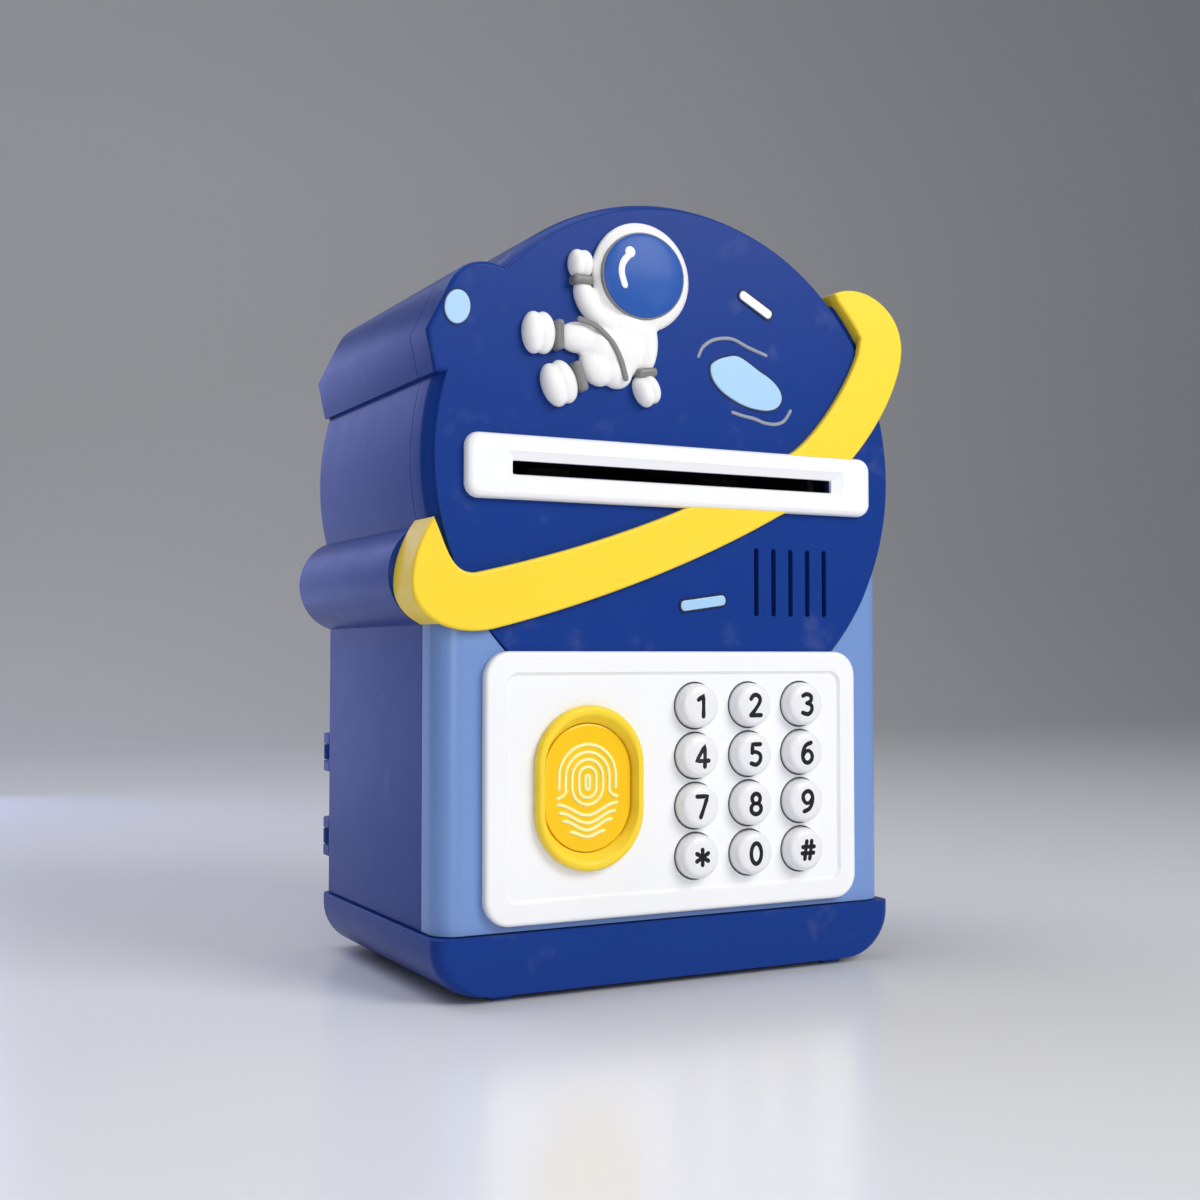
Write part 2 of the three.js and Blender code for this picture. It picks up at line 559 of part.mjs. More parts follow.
function gearShape(centreY, centreZ, teeth, firstTooth, bore) {
  const pitchRadius = MODULE * teeth / 2;
  const root = pitchRadius - 1.25 * MODULE;
  const tip = pitchRadius + 0.9 * MODULE;
  const step = 2 * Math.PI / teeth;
  const shape = new THREE.Shape();
  const corners = [[-0.33, root], [-0.11, tip], [0.11, tip], [0.33, root]];
  for (let tooth = 0; tooth < teeth; tooth += 1) {
    for (const [share, radius] of corners) {
      const angle = firstTooth + (tooth + share) * step;
      const y = centreY + radius * Math.cos(angle);
      const z = centreZ + radius * Math.sin(angle);
      if (shape.curves.length === 0 && tooth === 0 && share < -0.3) {
        shape.moveTo(y, z);
      } else {
        shape.lineTo(y, z);
      }
    }
  }
  shape.holes.push(new THREE.Path().absarc(centreY, centreZ, bore, 0, 2 * Math.PI, true));
  return shape;
}

const PINION_Z = DRIVE.z - MODULE * (DRIVE.teeth + DRIVE.pinionTeeth) / 2;

function feedChassis() {
  const { left, right, plate } = CHASSIS;
  const sides = [
    block(left, left + plate, 5, 40, 116, 145),
    block(right - plate, right, 5, 40, 116, 145),
    block(right - plate, right, 14, 38, PINION_Z - 10, 118),
  ];
  const guides = [
    block(left + 1, right - 1, 3, 15.2, 125, 126.3),
    block(left + 1, right - 1, 28.8, 44, 125, 126.3),
    block(left + 1, right - 1, 3, 16.5, 131.2, 132.5),
    block(left + 1, right - 1, 33, 37, 140, 143),
  ];
  const holes = [
    rodX(DRIVE.y, DRIVE.z, 1.85, left - 1, right + 1, 16),
    rodX(DRIVE.y, PINCH.z, 1.55, left - 1, right + 1, 16),
    rodX(DRIVE.y, PINION_Z, 3.4, right - plate - 1, right + 1, 16),
  ];
  return cut(union(...sides, ...guides), ...holes);
}

function feedMotor() {
  const can = rodX(DRIVE.y, PINION_Z, 10, 17, CHASSIS.right - 2.4, 28);
  const flats = block(0, 60, 0, 60, PINION_Z - 7.5, PINION_Z + 7.5);
  return union(can.intersect(flats), rodX(DRIVE.y, PINION_Z, 3, 15.2, 17.5, 16));
}

function motorPinion() {
  const gear = slabX(gearShape(DRIVE.y, PINION_Z, DRIVE.pinionTeeth, Math.PI / 10, 0.6), 47.2, 50.8);
  return union(gear, rodX(DRIVE.y, PINION_Z, 1, CHASSIS.right - 2.1, 51.4, 12));
}

function feedGear() {
  return slabX(gearShape(DRIVE.y, DRIVE.z, DRIVE.teeth, 0, 1.8), 47.5, 50.5);
}

function roller(x0, x1, z, radius, bore) {
  return cut(rodX(DRIVE.y, z, radius, x0, x1, 24), rodX(DRIVE.y, z, bore, x0 - 1, x1 + 1, 16));
}

// ---------------------------------------------------------------- power and small parts

function batteryCover() {
  const plate = block(-BAY.halfWidth + 0.4, BAY.halfWidth - 0.4, BAY.frontY + 0.4, BAY.rearY - 0.4,
    BASE.bottomZ + 0.1, BASE.bottomZ + 1.7);
  const tab = block(-5, 5, BAY.rearY - 2, BAY.rearY + 10, BASE.bottomZ + 1, BASE.bottomZ + 1.8);
  const hole = rodZ(0, BAY.rearY + 5.5, 1.5, 0, 6, 12);
  return cut(union(plate, tab), hole);
}

function batteryScrew() {
  const head = rodZ(0, BAY.rearY + 5.5, 2.4, BASE.bottomZ - 0.1, BASE.bottomZ + 0.8);
  return union(head, rodZ(0, BAY.rearY + 5.5, 1, BASE.bottomZ + 0.5, 9.5, 12));
}

function batteryCell(y) {
  const half = CELL.length / 2;
  const profile = [[0, -half], [6.6, -half], [CELL.radius, -half + 0.6], [CELL.radius, half - 2.2],
    [6.3, half - 1.2], [2.7, half - 1.2], [2.7, half], [0, half]];
  return turned(profile, 20).rotateZ(-Math.PI / 2).translate(0, y, CELL.z);
}

// A plate at one end of the bay with a pressed cone for each cell; side is -1 for left and 1 for right.
function batteryContacts(side) {
  const plate = new THREE.BoxGeometry(0.6, BAY.rearY - BAY.frontY - 2, 12);
  let strip = solid(plate.translate(side * 29.5, (BAY.frontY + BAY.rearY) / 2, CELL.z));
  for (const y of cellPlaces()) {
    const cone = new THREE.CylinderGeometry(1.2, 3, 3.4, 12);
    strip = union(strip, solid(cone.rotateZ(side * Math.PI / 2).translate(side * 27.8, y, CELL.z)));
  }
  return strip;
}

function cellPlaces() {
  const middle = (BAY.frontY + BAY.rearY) / 2;
  return [middle - CELL.pitch, middle, middle + CELL.pitch];
}

function cashPartition() {
  const wall = block(-52.8, 52.8, 24, 25.8, BAY.roofZ + 2, 95);
  const foot = block(-52.8, 52.8, 21, 25, BAY.roofZ + 2, BAY.roofZ + 3.6);
  return cut(union(wall, foot), rodY(30, 84, 3.3, 20, 30, 16));
}

function codeSetButton() {
  return union(rodY(30, 84, 2.9, 19.5, 28.4, 16), rodY(30, 84, 4, 19.5, 21, 16));
}

function caseScrew(x, z) {
  const profile = [[0, 6.2], [1.1, 7.4], [1.1, POST.seatY + GAP], [2.8, POST.seatY + GAP],
    [2.6, POST.seatY + 2.2], [0, POST.seatY + 2.5]];
  return solid(turned(profile, 12).translate(x, 0, z));
}

// ---------------------------------------------------------------- assembly

addPart('rear_shell', rearShell(), DARK_BLUE);
addPart('front_shell', frontShell(), DARK_BLUE);
addPart('lower_fascia', lowerFascia(), LIGHT_BLUE);
addPart('base_tray', baseTray(), DARK_BLUE);
addPart('ring_trim', ringTrim(), YELLOW);
addPart('note_bezel', noteBezel(), WHITE);
addPart('keypad_panel', keypadPanel(), WHITE);
for (const { name, x, z } of keyPlaces()) {
  addPart(name, keyCap(x, z), WHITE);
}
addPart('fingerprint_bezel', fingerprintBezel(), YELLOW);
addPart('fingerprint_pad', fingerprintPad(), DEEP_YELLOW);
addPart('key_membrane', keyMembrane(), SILICONE);
addPart('control_board', controlBoard(), BOARD_GREEN);
addPart('speaker', speaker(), BLACK_PLASTIC);
addPart('astronaut_figure', astronautFigure(), WHITE);
addPart('astronaut_visor', astronautVisor(), VISOR_BLUE);

addPart('rear_door', rearDoor(), DARK_BLUE);
for (const [name, z] of [['hinge_pin_lower', HINGE_LOW_Z[0]], ['hinge_pin_upper', HINGE_LOW_Z[1]]]) {
  addPart(name, rodZ(HINGE.x, HINGE.y, HINGE.pinRadius, z - 0.4, z + HINGE.height + 0.4, 16), STEEL);
}
addPart('latch_solenoid', latchSolenoid(), STEEL);
addPart('latch_plunger', latchPlunger(), STEEL);
addPart('latch_spring', latchSpring(), STEEL);

addPart('feed_chassis', feedChassis(), BLACK_PLASTIC);
addPart('feed_motor', feedMotor(), STEEL);
addPart('motor_pinion', motorPinion(), CREAM_PLASTIC);
addPart('feed_gear', feedGear(), CREAM_PLASTIC);
addPart('drive_shaft', rodX(DRIVE.y, DRIVE.z, 1.5, -51.5, 51.5, 12), STEEL);
addPart('drive_roller_left', roller(-34, -22, DRIVE.z, DRIVE.rollerRadius, 1.8), RUBBER);
addPart('drive_roller_right', roller(18, 30, DRIVE.z, DRIVE.rollerRadius, 1.8), RUBBER);
addPart('pinch_shaft', rodX(DRIVE.y, PINCH.z, 1.2, -51.5, 47.5, 12), STEEL);
addPart('pinch_roller_left', roller(-34, -22, PINCH.z, PINCH.rollerRadius, 1.5), RUBBER);
addPart('pinch_roller_right', roller(18, 30, PINCH.z, PINCH.rollerRadius, 1.5), RUBBER);

addPart('battery_cover', batteryCover(), DARK_BLUE);
addPart('battery_screw', batteryScrew(), STEEL);
cellPlaces().forEach((y, index) => {
  addPart(`battery_cell_${index + 1}`, solid(batteryCell(y)), CELL_GREEN);
});
addPart('battery_contacts_left', batteryContacts(-1), BRASS);
addPart('battery_contacts_right', batteryContacts(1), BRASS);
addPart('cash_partition', cashPartition(), CREAM_PLASTIC);
addPart('code_set_button', codeSetButton(), BLACK_PLASTIC);
postPlaces().forEach(([x, z], index) => {
  addPart(`case_screw_${index + 1}`, caseScrew(x, z), STEEL);
});

bank.position.set(-ORIGIN.x, -ORIGIN.y, 0);

export default bank;
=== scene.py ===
# Looks of the toy cash-machine savings bank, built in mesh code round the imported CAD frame.
# Sizes are in millimetres in the bank's own layout: x from the middle of the body, y from the planet
# face towards the rear, z from the table. place() turns them into the frame's metres.
import math

import bmesh
import bpy
from mathutils import Matrix, Vector


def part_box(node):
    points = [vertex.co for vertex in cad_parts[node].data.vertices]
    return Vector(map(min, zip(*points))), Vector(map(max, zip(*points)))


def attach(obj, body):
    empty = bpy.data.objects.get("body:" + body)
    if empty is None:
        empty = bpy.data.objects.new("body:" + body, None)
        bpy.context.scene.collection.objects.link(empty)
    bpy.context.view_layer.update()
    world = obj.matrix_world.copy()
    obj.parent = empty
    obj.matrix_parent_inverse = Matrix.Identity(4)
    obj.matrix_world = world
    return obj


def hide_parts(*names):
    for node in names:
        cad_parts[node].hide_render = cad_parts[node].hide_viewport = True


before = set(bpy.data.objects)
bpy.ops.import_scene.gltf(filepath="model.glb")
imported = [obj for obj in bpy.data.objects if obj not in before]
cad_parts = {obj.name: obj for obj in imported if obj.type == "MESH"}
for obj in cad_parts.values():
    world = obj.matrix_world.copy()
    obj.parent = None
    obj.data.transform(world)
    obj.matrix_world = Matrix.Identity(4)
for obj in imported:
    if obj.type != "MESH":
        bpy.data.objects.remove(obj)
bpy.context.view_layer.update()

MM = 0.001
tray_low, tray_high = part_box("base_tray")
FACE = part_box("front_shell")[0].y
MIDDLE = (tray_low.x + tray_high.x) / 2

# ------------------------------------------------------------------ sizes taken from the frame, in mm

HEAD_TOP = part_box("front_shell")[1].z / MM
HEAD_R = (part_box("front_shell")[1].x - MIDDLE) / MM
HEAD_Z = HEAD_TOP - HEAD_R
RIM_R = HEAD_R - 1.8  # crisp lower edge of the planet face
SEAM_Y = (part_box("rear_shell")[0].y - FACE) / MM
REAR_Y = (tray_high.y - FACE) / MM - 1
BODY_HALF = (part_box("lower_fascia")[1].x - MIDDLE) / MM
BODY_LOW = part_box("rear_shell")[0].z / MM
SHOULDER_Z = HEAD_Z - math.sqrt(HEAD_R ** 2 - BODY_HALF ** 2)
TRAY_HALF = (tray_high.x - MIDDLE) / MM
TRAY_FRONT = (tray_low.y - FACE) / MM
TRAY_REAR = (tray_high.y - FACE) / MM
WALL = 2.4


def place(x, y, z):
    return Vector((MIDDLE + x * MM, FACE + y * MM, z * MM))


def span(node):
    """A CAD node's box in the layout's millimetres: x0, x1, y0, y1, z0, z1."""
    low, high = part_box(node)
    return ((low.x - MIDDLE) / MM, (high.x - MIDDLE) / MM, (low.y - FACE) / MM,
            (high.y - FACE) / MM, low.z / MM, high.z / MM)


# ------------------------------------------------------------------ outlines in x and z

def arc(cx, cz, radius, start, end, steps):
    """Points on an arc, angles in degrees."""
    turn = [math.radians(start + (end - start) * i / steps) for i in range(steps + 1)]
    return [(cx + radius * math.cos(a), cz + radius * math.sin(a)) for a in turn]


def bezier(p0, p1, p2, p3, steps):
    points = []
    for i in range(1, steps + 1):
        t = i / steps
        u = 1 - t
        weights = (u ** 3, 3 * u * u * t, 3 * u * t * t, t ** 3)
        points.append(tuple(sum(w * p[k] for w, p in zip(weights, (p0, p1, p2, p3))) for k in (0, 1)))
    return points


def rounded(x0, x1, z0, z1, radius, steps=8):
    return (arc(x1 - radius, z0 + radius, radius, -90, 0, steps)
            + arc(x1 - radius, z1 - radius, radius, 0, 90, steps)
            + arc(x0 + radius, z1 - radius, radius, 90, 180, steps)
            + arc(x0 + radius, z0 + radius, radius, 180, 270, steps))


def stadium(cx, cz, radius, straight, steps=32):
    return arc(cx, cz + straight, radius, 0, 180, steps) + arc(cx, cz - straight, radius, 180, 360, steps)


def oval(cx, cz, half_long, half_short, tilt, steps=48):
    """A closed ellipse whose long axis is turned by tilt degrees from x."""
    c, s = math.cos(math.radians(tilt)), math.sin(math.radians(tilt))
    points = []
    for i in range(steps):
        a = 2 * math.pi * i / steps
        u, v = half_long * math.cos(a), half_short * math.sin(a)
        points.append((cx + u * c - v * s, cz + u * s + v * c))
    return points


def smooth_path(points, steps=8):
    """A Catmull-Rom curve through an open list of points."""
    ends = [points[0]] + list(points) + [points[-1]]
    path = [points[0]]
    for a, b, c, d in zip(ends, ends[1:], ends[2:], ends[3:]):
        for i in range(1, steps + 1):
            t = i / steps
            path.append(tuple(0.5 * (2 * b[k] + (c[k] - a[k]) * t + (2 * a[k] - 5 * b[k] + 4 * c[k] - d[k]) * t * t
                                     + (3 * b[k] - a[k] - 3 * c[k] + d[k]) * t ** 3) for k in (0, 1)))
    return path


def smooth_loop(points, steps=6):
    """A closed Catmull-Rom curve through a list of points."""
    path = smooth_path([points[-1]] + list(points) + list(points[:2]), steps)
    return path[steps:-steps - 1]


def inset(outline, distance):
    """The outline moved inwards (it runs anticlockwise); distance is one number or one for each point."""
    moved = []
    count = len(outline)
    for i, (x, z) in enumerate(outline):
        before = Vector(outline[i - 1])
        after = Vector(outline[(i + 1) % count])
        here = Vector((x, z))
        first = (here - before).normalized()
        second = (after - here).normalized()
        normal_a = Vector((-first.y, first.x))
        normal_b = Vector((-second.y, second.x))
        middle = (normal_a + normal_b).normalized()
        depth = distance[i] if isinstance(distance, list) else distance
        stretch = 1 / max(0.45, middle.dot(normal_a))
        moved.append((x + middle.x * depth * stretch, z + middle.y * depth * stretch))
    return moved


# ------------------------------------------------------------------ meshes

def new_piece(name, verts, faces, smooth=40):
    """A mesh object with shared points merged, normals outwards and edges sharp above an angle."""
    mesh = bpy.data.meshes.new(name)
    mesh.from_pydata([tuple(v) for v in verts], [], faces)
    work = bmesh.new()
    work.from_mesh(mesh)
    bmesh.ops.remove_doubles(work, verts=work.verts, dist=1e-7)
    bmesh.ops.recalc_face_normals(work, faces=work.faces)
    if work.calc_volume(signed=True) < 0:
        bmesh.ops.reverse_faces(work, faces=work.faces)
    work.to_mesh(mesh)
    work.free()
    piece = bpy.data.objects.new(name, mesh)
    bpy.context.scene.collection.objects.link(piece)
    shade(piece, smooth)
    return piece


def shade(piece, angle=40):
    mesh = piece.data
    mesh.polygons.foreach_set("use_smooth", [True] * len(mesh.polygons))
    mesh.set_sharp_from_angle(angle=math.radians(angle))
    mesh.update()


def loft(name, rings, closed=False, smooth=40):
    """Skins equal rings of (x, y, z) points; an open loft gets a flat cap at each end."""
    count = len(rings[0])
    verts = [place(*p) for ring in rings for p in ring]
    faces = []
    pairs = list(zip(range(len(rings)), list(range(1, len(rings))) + [0]))
    for a, b in pairs if closed else pairs[:-1]:
        for i in range(count):
            j = (i + 1) % count
            faces.append((a * count + i, a * count + j, b * count + j, b * count + i))
    if not closed:
        faces.append(tuple(range(count)))
        faces.append(tuple(range((len(rings) - 1) * count, len(rings) * count)))
    return new_piece(name, verts, faces, smooth)


def at_depth(outline, y):
    return [(x, y, z) for x, z in outline]


def edge_steps(radius, steps):
    """Inset and depth of each ring round a quarter fillet, from the face to the wall."""
    turn = [math.pi / 2 * (1 - i / steps) for i in range(steps + 1)]
    return [(radius * (1 - math.cos(a)), radius * (1 - math.sin(a))) for a in turn]


def slab(name, outline, y0, y1, front=0.0, back=0.0, steps=4, smooth=40):
    """An outline extruded from y0 to y1 with round front and back edges."""
    rings = []
    if front:
        rings += [at_depth(inset(outline, i), y0 + d) for i, d in edge_steps(front, steps)]
    else:
        rings.append(at_depth(outline, y0))
    if back:
        rings += [at_depth(inset(outline, i), y1 - d) for i, d in reversed(edge_steps(back, steps))]
    else:
        rings.append(at_depth(outline, y1))
    return loft(name, rings, smooth=smooth)


def lathe_y(name, x, z, profile, sides=48, smooth=40):
    """A profile of (radius, y) turned about a line along y."""
    rings = [[(x + r * math.cos(a), y, z + r * math.sin(a))
              for a in (2 * math.pi * i / sides for i in range(sides))] for r, y in profile]
    return loft(name, rings, smooth=smooth)


def brick(name, x0, x1, y0, y1, z0, z1, edge=0.3):
    outline = rounded(x0, x1, z0, z1, min(edge * 1.7, (x1 - x0) / 2.1, (z1 - z0) / 2.1), 3)
    return slab(name, outline, y0, y1, front=edge, back=edge, steps=2)


def rod_z(name, x, y, radius, z0, z1, edge=0.2, sides=32):
    rings = []
    for grow, z in ((-edge, z0), (0, z0 + edge), (0, z1 - edge), (-edge, z1)):
        ring = [(x + (radius + grow) * math.cos(a), y + (radius + grow) * math.sin(a), z)
                for a in (2 * math.pi * i / sides for i in range(sides))]
        rings.append(ring)
    return loft(name, rings)


def tube(name, path, radius, sides=10, flat=1.0):
    """A round strip along points (x, y, z), with closed rounded ends; flat thins it in y."""
    points = [Vector(p) for p in path]
    rings = []
    for i, here in enumerate(points):
        ahead = points[min(i + 1, len(points) - 1)] - points[max(i - 1, 0)]
        along = ahead.normalized()
        side = along.cross(Vector((0, 1, 0))).normalized()
        ends = [(0, 1.0)]
        if i == 0:
            ends = [(-0.95, 0.3), (-0.7, 0.72), (0, 1.0)]
        elif i == len(points) - 1:
            ends = [(0, 1.0), (0.7, 0.72), (0.95, 0.3)]
        for shift, scale in ends:
            centre = here + along * shift * radius
            rings.append([tuple(centre + side * radius * scale * math.cos(a)
                                + Vector((0, 1, 0)) * radius * scale * flat * math.sin(a))
                          for a in (2 * math.pi * k / sides for k in range(sides))])
    return loft(name, rings, smooth=60)


def take_modifiers(piece):
    """Makes the result of the piece's modifiers its mesh."""
    graph = bpy.context.evaluated_depsgraph_get()
    graph.update()
    mesh = bpy.data.meshes.new_from_object(piece.evaluated_get(graph))
    piece.modifiers.clear()
    piece.data = mesh
    return piece


def remove(pieces):
    for piece in pieces:
        bpy.data.objects.remove(piece)


def combine(piece, others, operation, smooth=40):
    """Joins to, cuts from or keeps the overlap with other pieces, which are used up."""
    for other in others:
        step = piece.modifiers.new("step", "BOOLEAN")
        step.operation = operation
        step.solver = "EXACT"
        step.object = other
        take_modifiers(piece)
    remove(others)
    shade(piece, smooth)
    return piece


def join(name, pieces, smooth=40):
    """One object from several separate closed bodies."""
    work = bmesh.new()
    for piece in pieces:
        work.from_mesh(piece.data)
    mesh = bpy.data.meshes.new(name)
    work.to_mesh(mesh)
    work.free()
    remove(pieces)
    piece = bpy.data.objects.new(name, mesh)
    bpy.context.scene.collection.objects.link(piece)
    shade(piece, smooth)
    return piece


def ball(name, x, y, z, radius_x, radius_y, radius_z, turn=0.0, segments=40):
    """An ellipsoid turned in the face plane by an angle in degrees."""
    work = bmesh.new()
    bmesh.ops.create_uvsphere(work, u_segments=segments, v_segments=segments // 2, radius=1)
    mesh = bpy.data.meshes.new(name)
    work.to_mesh(mesh)
    work.free()
    size = Matrix.Diagonal((radius_x * MM, radius_y * MM, radius_z * MM, 1))
    mesh.transform(Matrix.Translation(place(x, y, z)) @ Matrix.Rotation(math.radians(-turn), 4, "Y") @ size)
    piece = bpy.data.objects.new(name, mesh)
    bpy.context.scene.collection.objects.link(piece)
    shade(piece)
    return piece


LEVEL = 0.99999  # faces that look straight forward or back are shaded flat


def finish_piece(piece, material, body, slot, *nodes):
    piece.data.materials.clear()
    piece.data.materials.append(material)
    for side in piece.data.polygons:
        if abs(side.normal.y) > LEVEL:
            side.use_smooth = False
    even = piece.modifiers.new("even_normals", "WEIGHTED_NORMAL")
    even.keep_sharp = True
    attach(piece, body)
    if nodes:
        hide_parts(*nodes)
    return piece


# ------------------------------------------------------------------ materials

def moulded(name, colour, roughness, coat=0.12, grain=0.02, metallic=0.0, wear=0.12, scale=60.0, subsurface=0.0,
            specular=0.4):
    """Moulded plastic or plated metal: faint flow variation in colour, uneven gloss, fine skin, pale scuffs."""
    material = bpy.data.materials.new(name)
    material.use_nodes = True
    tree = material.node_tree
    nodes, links = tree.nodes, tree.links
    shader = nodes["Principled BSDF"]
    shader.inputs["Metallic"].default_value = metallic
    shader.inputs["Coat Weight"].default_value = coat
    shader.inputs["Coat Roughness"].default_value = 0.08
    shader.inputs["IOR"].default_value = 1.46
    shader.inputs["Specular IOR Level"].default_value = specular
    shader.inputs["Subsurface Weight"].default_value = subsurface
    shader.inputs["Subsurface Scale"].default_value = 0.002
    place_in = nodes.new("ShaderNodeTexCoord")
    flow = nodes.new("ShaderNodeTexNoise")
    flow.inputs["Scale"].default_value = scale * 0.35
    flow.inputs["Detail"].default_value = 3
    tint = nodes.new("ShaderNodeMix")
    tint.data_type = "RGBA"
    tint.inputs[6].default_value = (*[c * 0.955 for c in colour], 1)
    tint.inputs[7].default_value = (*[min(1, c * 1.035) for c in colour], 1)
    scuff = nodes.new("ShaderNodeMapRange")
    scuff.inputs["From Min"].default_value = 0.6
    scuff.inputs["From Max"].default_value = 0.85
    scuff.inputs["To Max"].default_value = wear
    worn = nodes.new("ShaderNodeMix")
    worn.data_type = "RGBA"
    worn.inputs[7].default_value = (*[c + (1 - c) * 0.35 for c in colour], 1)
    cloud = nodes.new("ShaderNodeTexNoise")
    cloud.inputs["Scale"].default_value = scale * 1.7
    cloud.inputs["Detail"].default_value = 5
    gloss = nodes.new("ShaderNodeMapRange")
    gloss.inputs["To Min"].default_value = roughness * 0.82
    gloss.inputs["To Max"].default_value = roughness * 1.2
    skin = nodes.new("ShaderNodeTexNoise")
    skin.inputs["Scale"].default_value = scale * 30
    skin.inputs["Detail"].default_value = 2
    bump = nodes.new("ShaderNodeBump")
    bump.inputs["Strength"].default_value = grain
    bump.inputs["Distance"].default_value = 0.0003
    for noise in (flow, cloud, skin):
        links.new(place_in.outputs["Object"], noise.inputs["Vector"])
    links.new(flow.outputs["Fac"], tint.inputs["Factor"])
    links.new(cloud.outputs["Fac"], scuff.inputs["Value"])
    links.new(scuff.outputs["Result"], worn.inputs["Factor"])
    links.new(tint.outputs[2], worn.inputs[6])
    links.new(worn.outputs[2], shader.inputs["Base Color"])
    links.new(cloud.outputs["Fac"], gloss.inputs["Value"])
    links.new(gloss.outputs["Result"], shader.inputs["Roughness"])
    links.new(skin.outputs["Fac"], bump.inputs["Height"])
    links.new(bump.outputs["Normal"], shader.inputs["Normal"])
    return material


def srgb(red, green, blue):
    """An 8-bit screen colour as linear light."""
    return tuple(((c / 255 + 0.055) / 1.055) ** 2.4 if c > 10 else c / 255 / 12.92 for c in (red, green, blue))


DARK_BLUE = moulded("dark_blue_abs", srgb(23, 57, 134), 0.3, coat=0.0, specular=0.1)
# Navy: printed outlines round the face inlays, and painted shade in the core behind the seam.
NAVY = moulded("navy_print_and_seam_shade", srgb(10, 20, 62), 0.5, coat=0.0)
# The body's blue plastic, made a little lighter for the feet: painted sheen.
FEET_BLUE_SHEEN = moulded("body_blue_painted_sheen", srgb(27, 62, 145), 0.35)
LIGHT_BLUE = moulded("light_blue_abs", srgb(116, 148, 204), 0.32)
WHITE = moulded("white_abs", srgb(246, 246, 248), 0.3, subsurface=0.05)
KEY_WHITE = moulded("key_white_abs", srgb(238, 238, 240), 0.3, coat=0.4, subsurface=0.05)
YELLOW = moulded("yellow_abs", srgb(253, 217, 60), 0.32, coat=0.02, subsurface=0.04, specular=0.2)
DEEP_YELLOW = moulded("deep_yellow_abs", srgb(251, 200, 8), 0.28, subsurface=0.04)
CREAM = moulded("cream_ridge_abs", srgb(255, 248, 176), 0.35)
ICE_BLUE = moulded("ice_blue_inlay", srgb(168, 207, 240), 0.3)
SUIT_WHITE = moulded("suit_white_abs", srgb(244, 243, 241), 0.35, subsurface=0.05)
SUIT_GREY = moulded("suit_grey_abs", srgb(128, 128, 128), 0.42)
LINE_GREY = moulded("line_grey_ink", srgb(150, 155, 168), 0.45)
# Painted shade for the gaps round the keys.
KEY_GAP_SHADE = moulded("key_gap_painted_shade", srgb(70, 72, 80), 0.6, coat=0.0)
VISOR = moulded("visor_blue_abs", srgb(44, 88, 168), 0.35, coat=0.05, specular=0.2)
INK = moulded("black_key_ink", srgb(14, 14, 16), 0.4, coat=0.0)
STEEL = moulded("zinc_plated_steel", srgb(190, 193, 199), 0.3, metallic=1.0, coat=0.0, scale=200)
BRASS = moulded("spring_brass", srgb(196, 168, 100), 0.32, metallic=1.0, coat=0.0, scale=200)
RUBBER = moulded("feed_rubber", srgb(42, 42, 45), 0.75, coat=0.0, grain=0.15)
BLACK = moulded("black_nylon", srgb(28, 29, 33), 0.45, coat=0.0)
NATURAL = moulded("natural_nylon", srgb(228, 224, 212), 0.45, coat=0.0, subsurface=0.05)
BOARD = moulded("board_solder_mask", srgb(26, 104, 58), 0.35)
SILICONE = moulded("grey_silicone", srgb(200, 204, 208), 0.6, coat=0.0, grain=0.08)
SLEEVE = moulded("cell_foil_sleeve", srgb(44, 110, 84), 0.3, metallic=0.4)


# ------------------------------------------------------------------ shells

EAR = ([(-30, 168), (-47.5, 177.4)] + bezier((-47.5, 177.4), (-54, 180), (-60.2, 178.6), (-63.1, 172.9), 10)
       + [(-69.2, 160.6), (-67.1, 150.6), (-30, 150.6)])
EAR_EDGE = 1.2
EAR_OVAL = (-61.5, 166.6, 4.2, 3.3, 78)  # middle x and z, half length, half width, tilt
BOSS_R = 13
BOSSES = {"left": (-61.5, 102.7), "right": (57, 168)}
UPPER_POSTS = [(-40, 178), (40, 178)]
LOWER_POSTS = [(-57.5, 84), (57.5, 84)]
FACE_EDGE = 5.2
SLOT_HALF, SLOT_LOW, SLOT_HIGH = 47.4, 126.9, 130.3
BEZEL_HALF, BEZEL_LOW, BEZEL_HIGH = 59.8, 120.8, 136.7
GAP = 0.3  # clearance between neighbouring pieces
GRILLE_X, GRILLE_Z, GRILLE_PITCH, GRILLE_SLOTS = 34.8, 102.25, 5.45, 5
_, DOOR_X1, _, _, DOOR_Z0, DOOR_Z1 = span("rear_door")
DOOR_LEFT = -51.5
HINGE_X, HINGE_Y, HINGE_R, HINGE_TALL = -62.1, 89.3, 3.2, 10.8
HINGE_LOW = (25.9, 49.9)


def form(name, shrink, y0, y1, front=0.0, back=0.0):
    """The bank's body: planet disc, its ear and the box under it, all smaller by shrink."""
    disc = slab(name, arc(0, HEAD_Z, HEAD_R - shrink, 0, 357.5, 143), y0, y1, front, back, 6)
    ear = slab(name + "_ear", inset(EAR, shrink), y0, y1, min(front, EAR_EDGE), min(back, EAR_EDGE), 5)
    low = BODY_LOW + shrink
    box = slab(name + "_box", rounded(-BODY_HALF + shrink, BODY_HALF - shrink, low - 8, SHOULDER_Z + 8 - shrink,
                                      4, 6), y0, y1, 0, back, 6)
    combine(box, [brick("below", -90, 90, -20, 120, low - 30, low)], "DIFFERENCE")
    return disc, ear, box


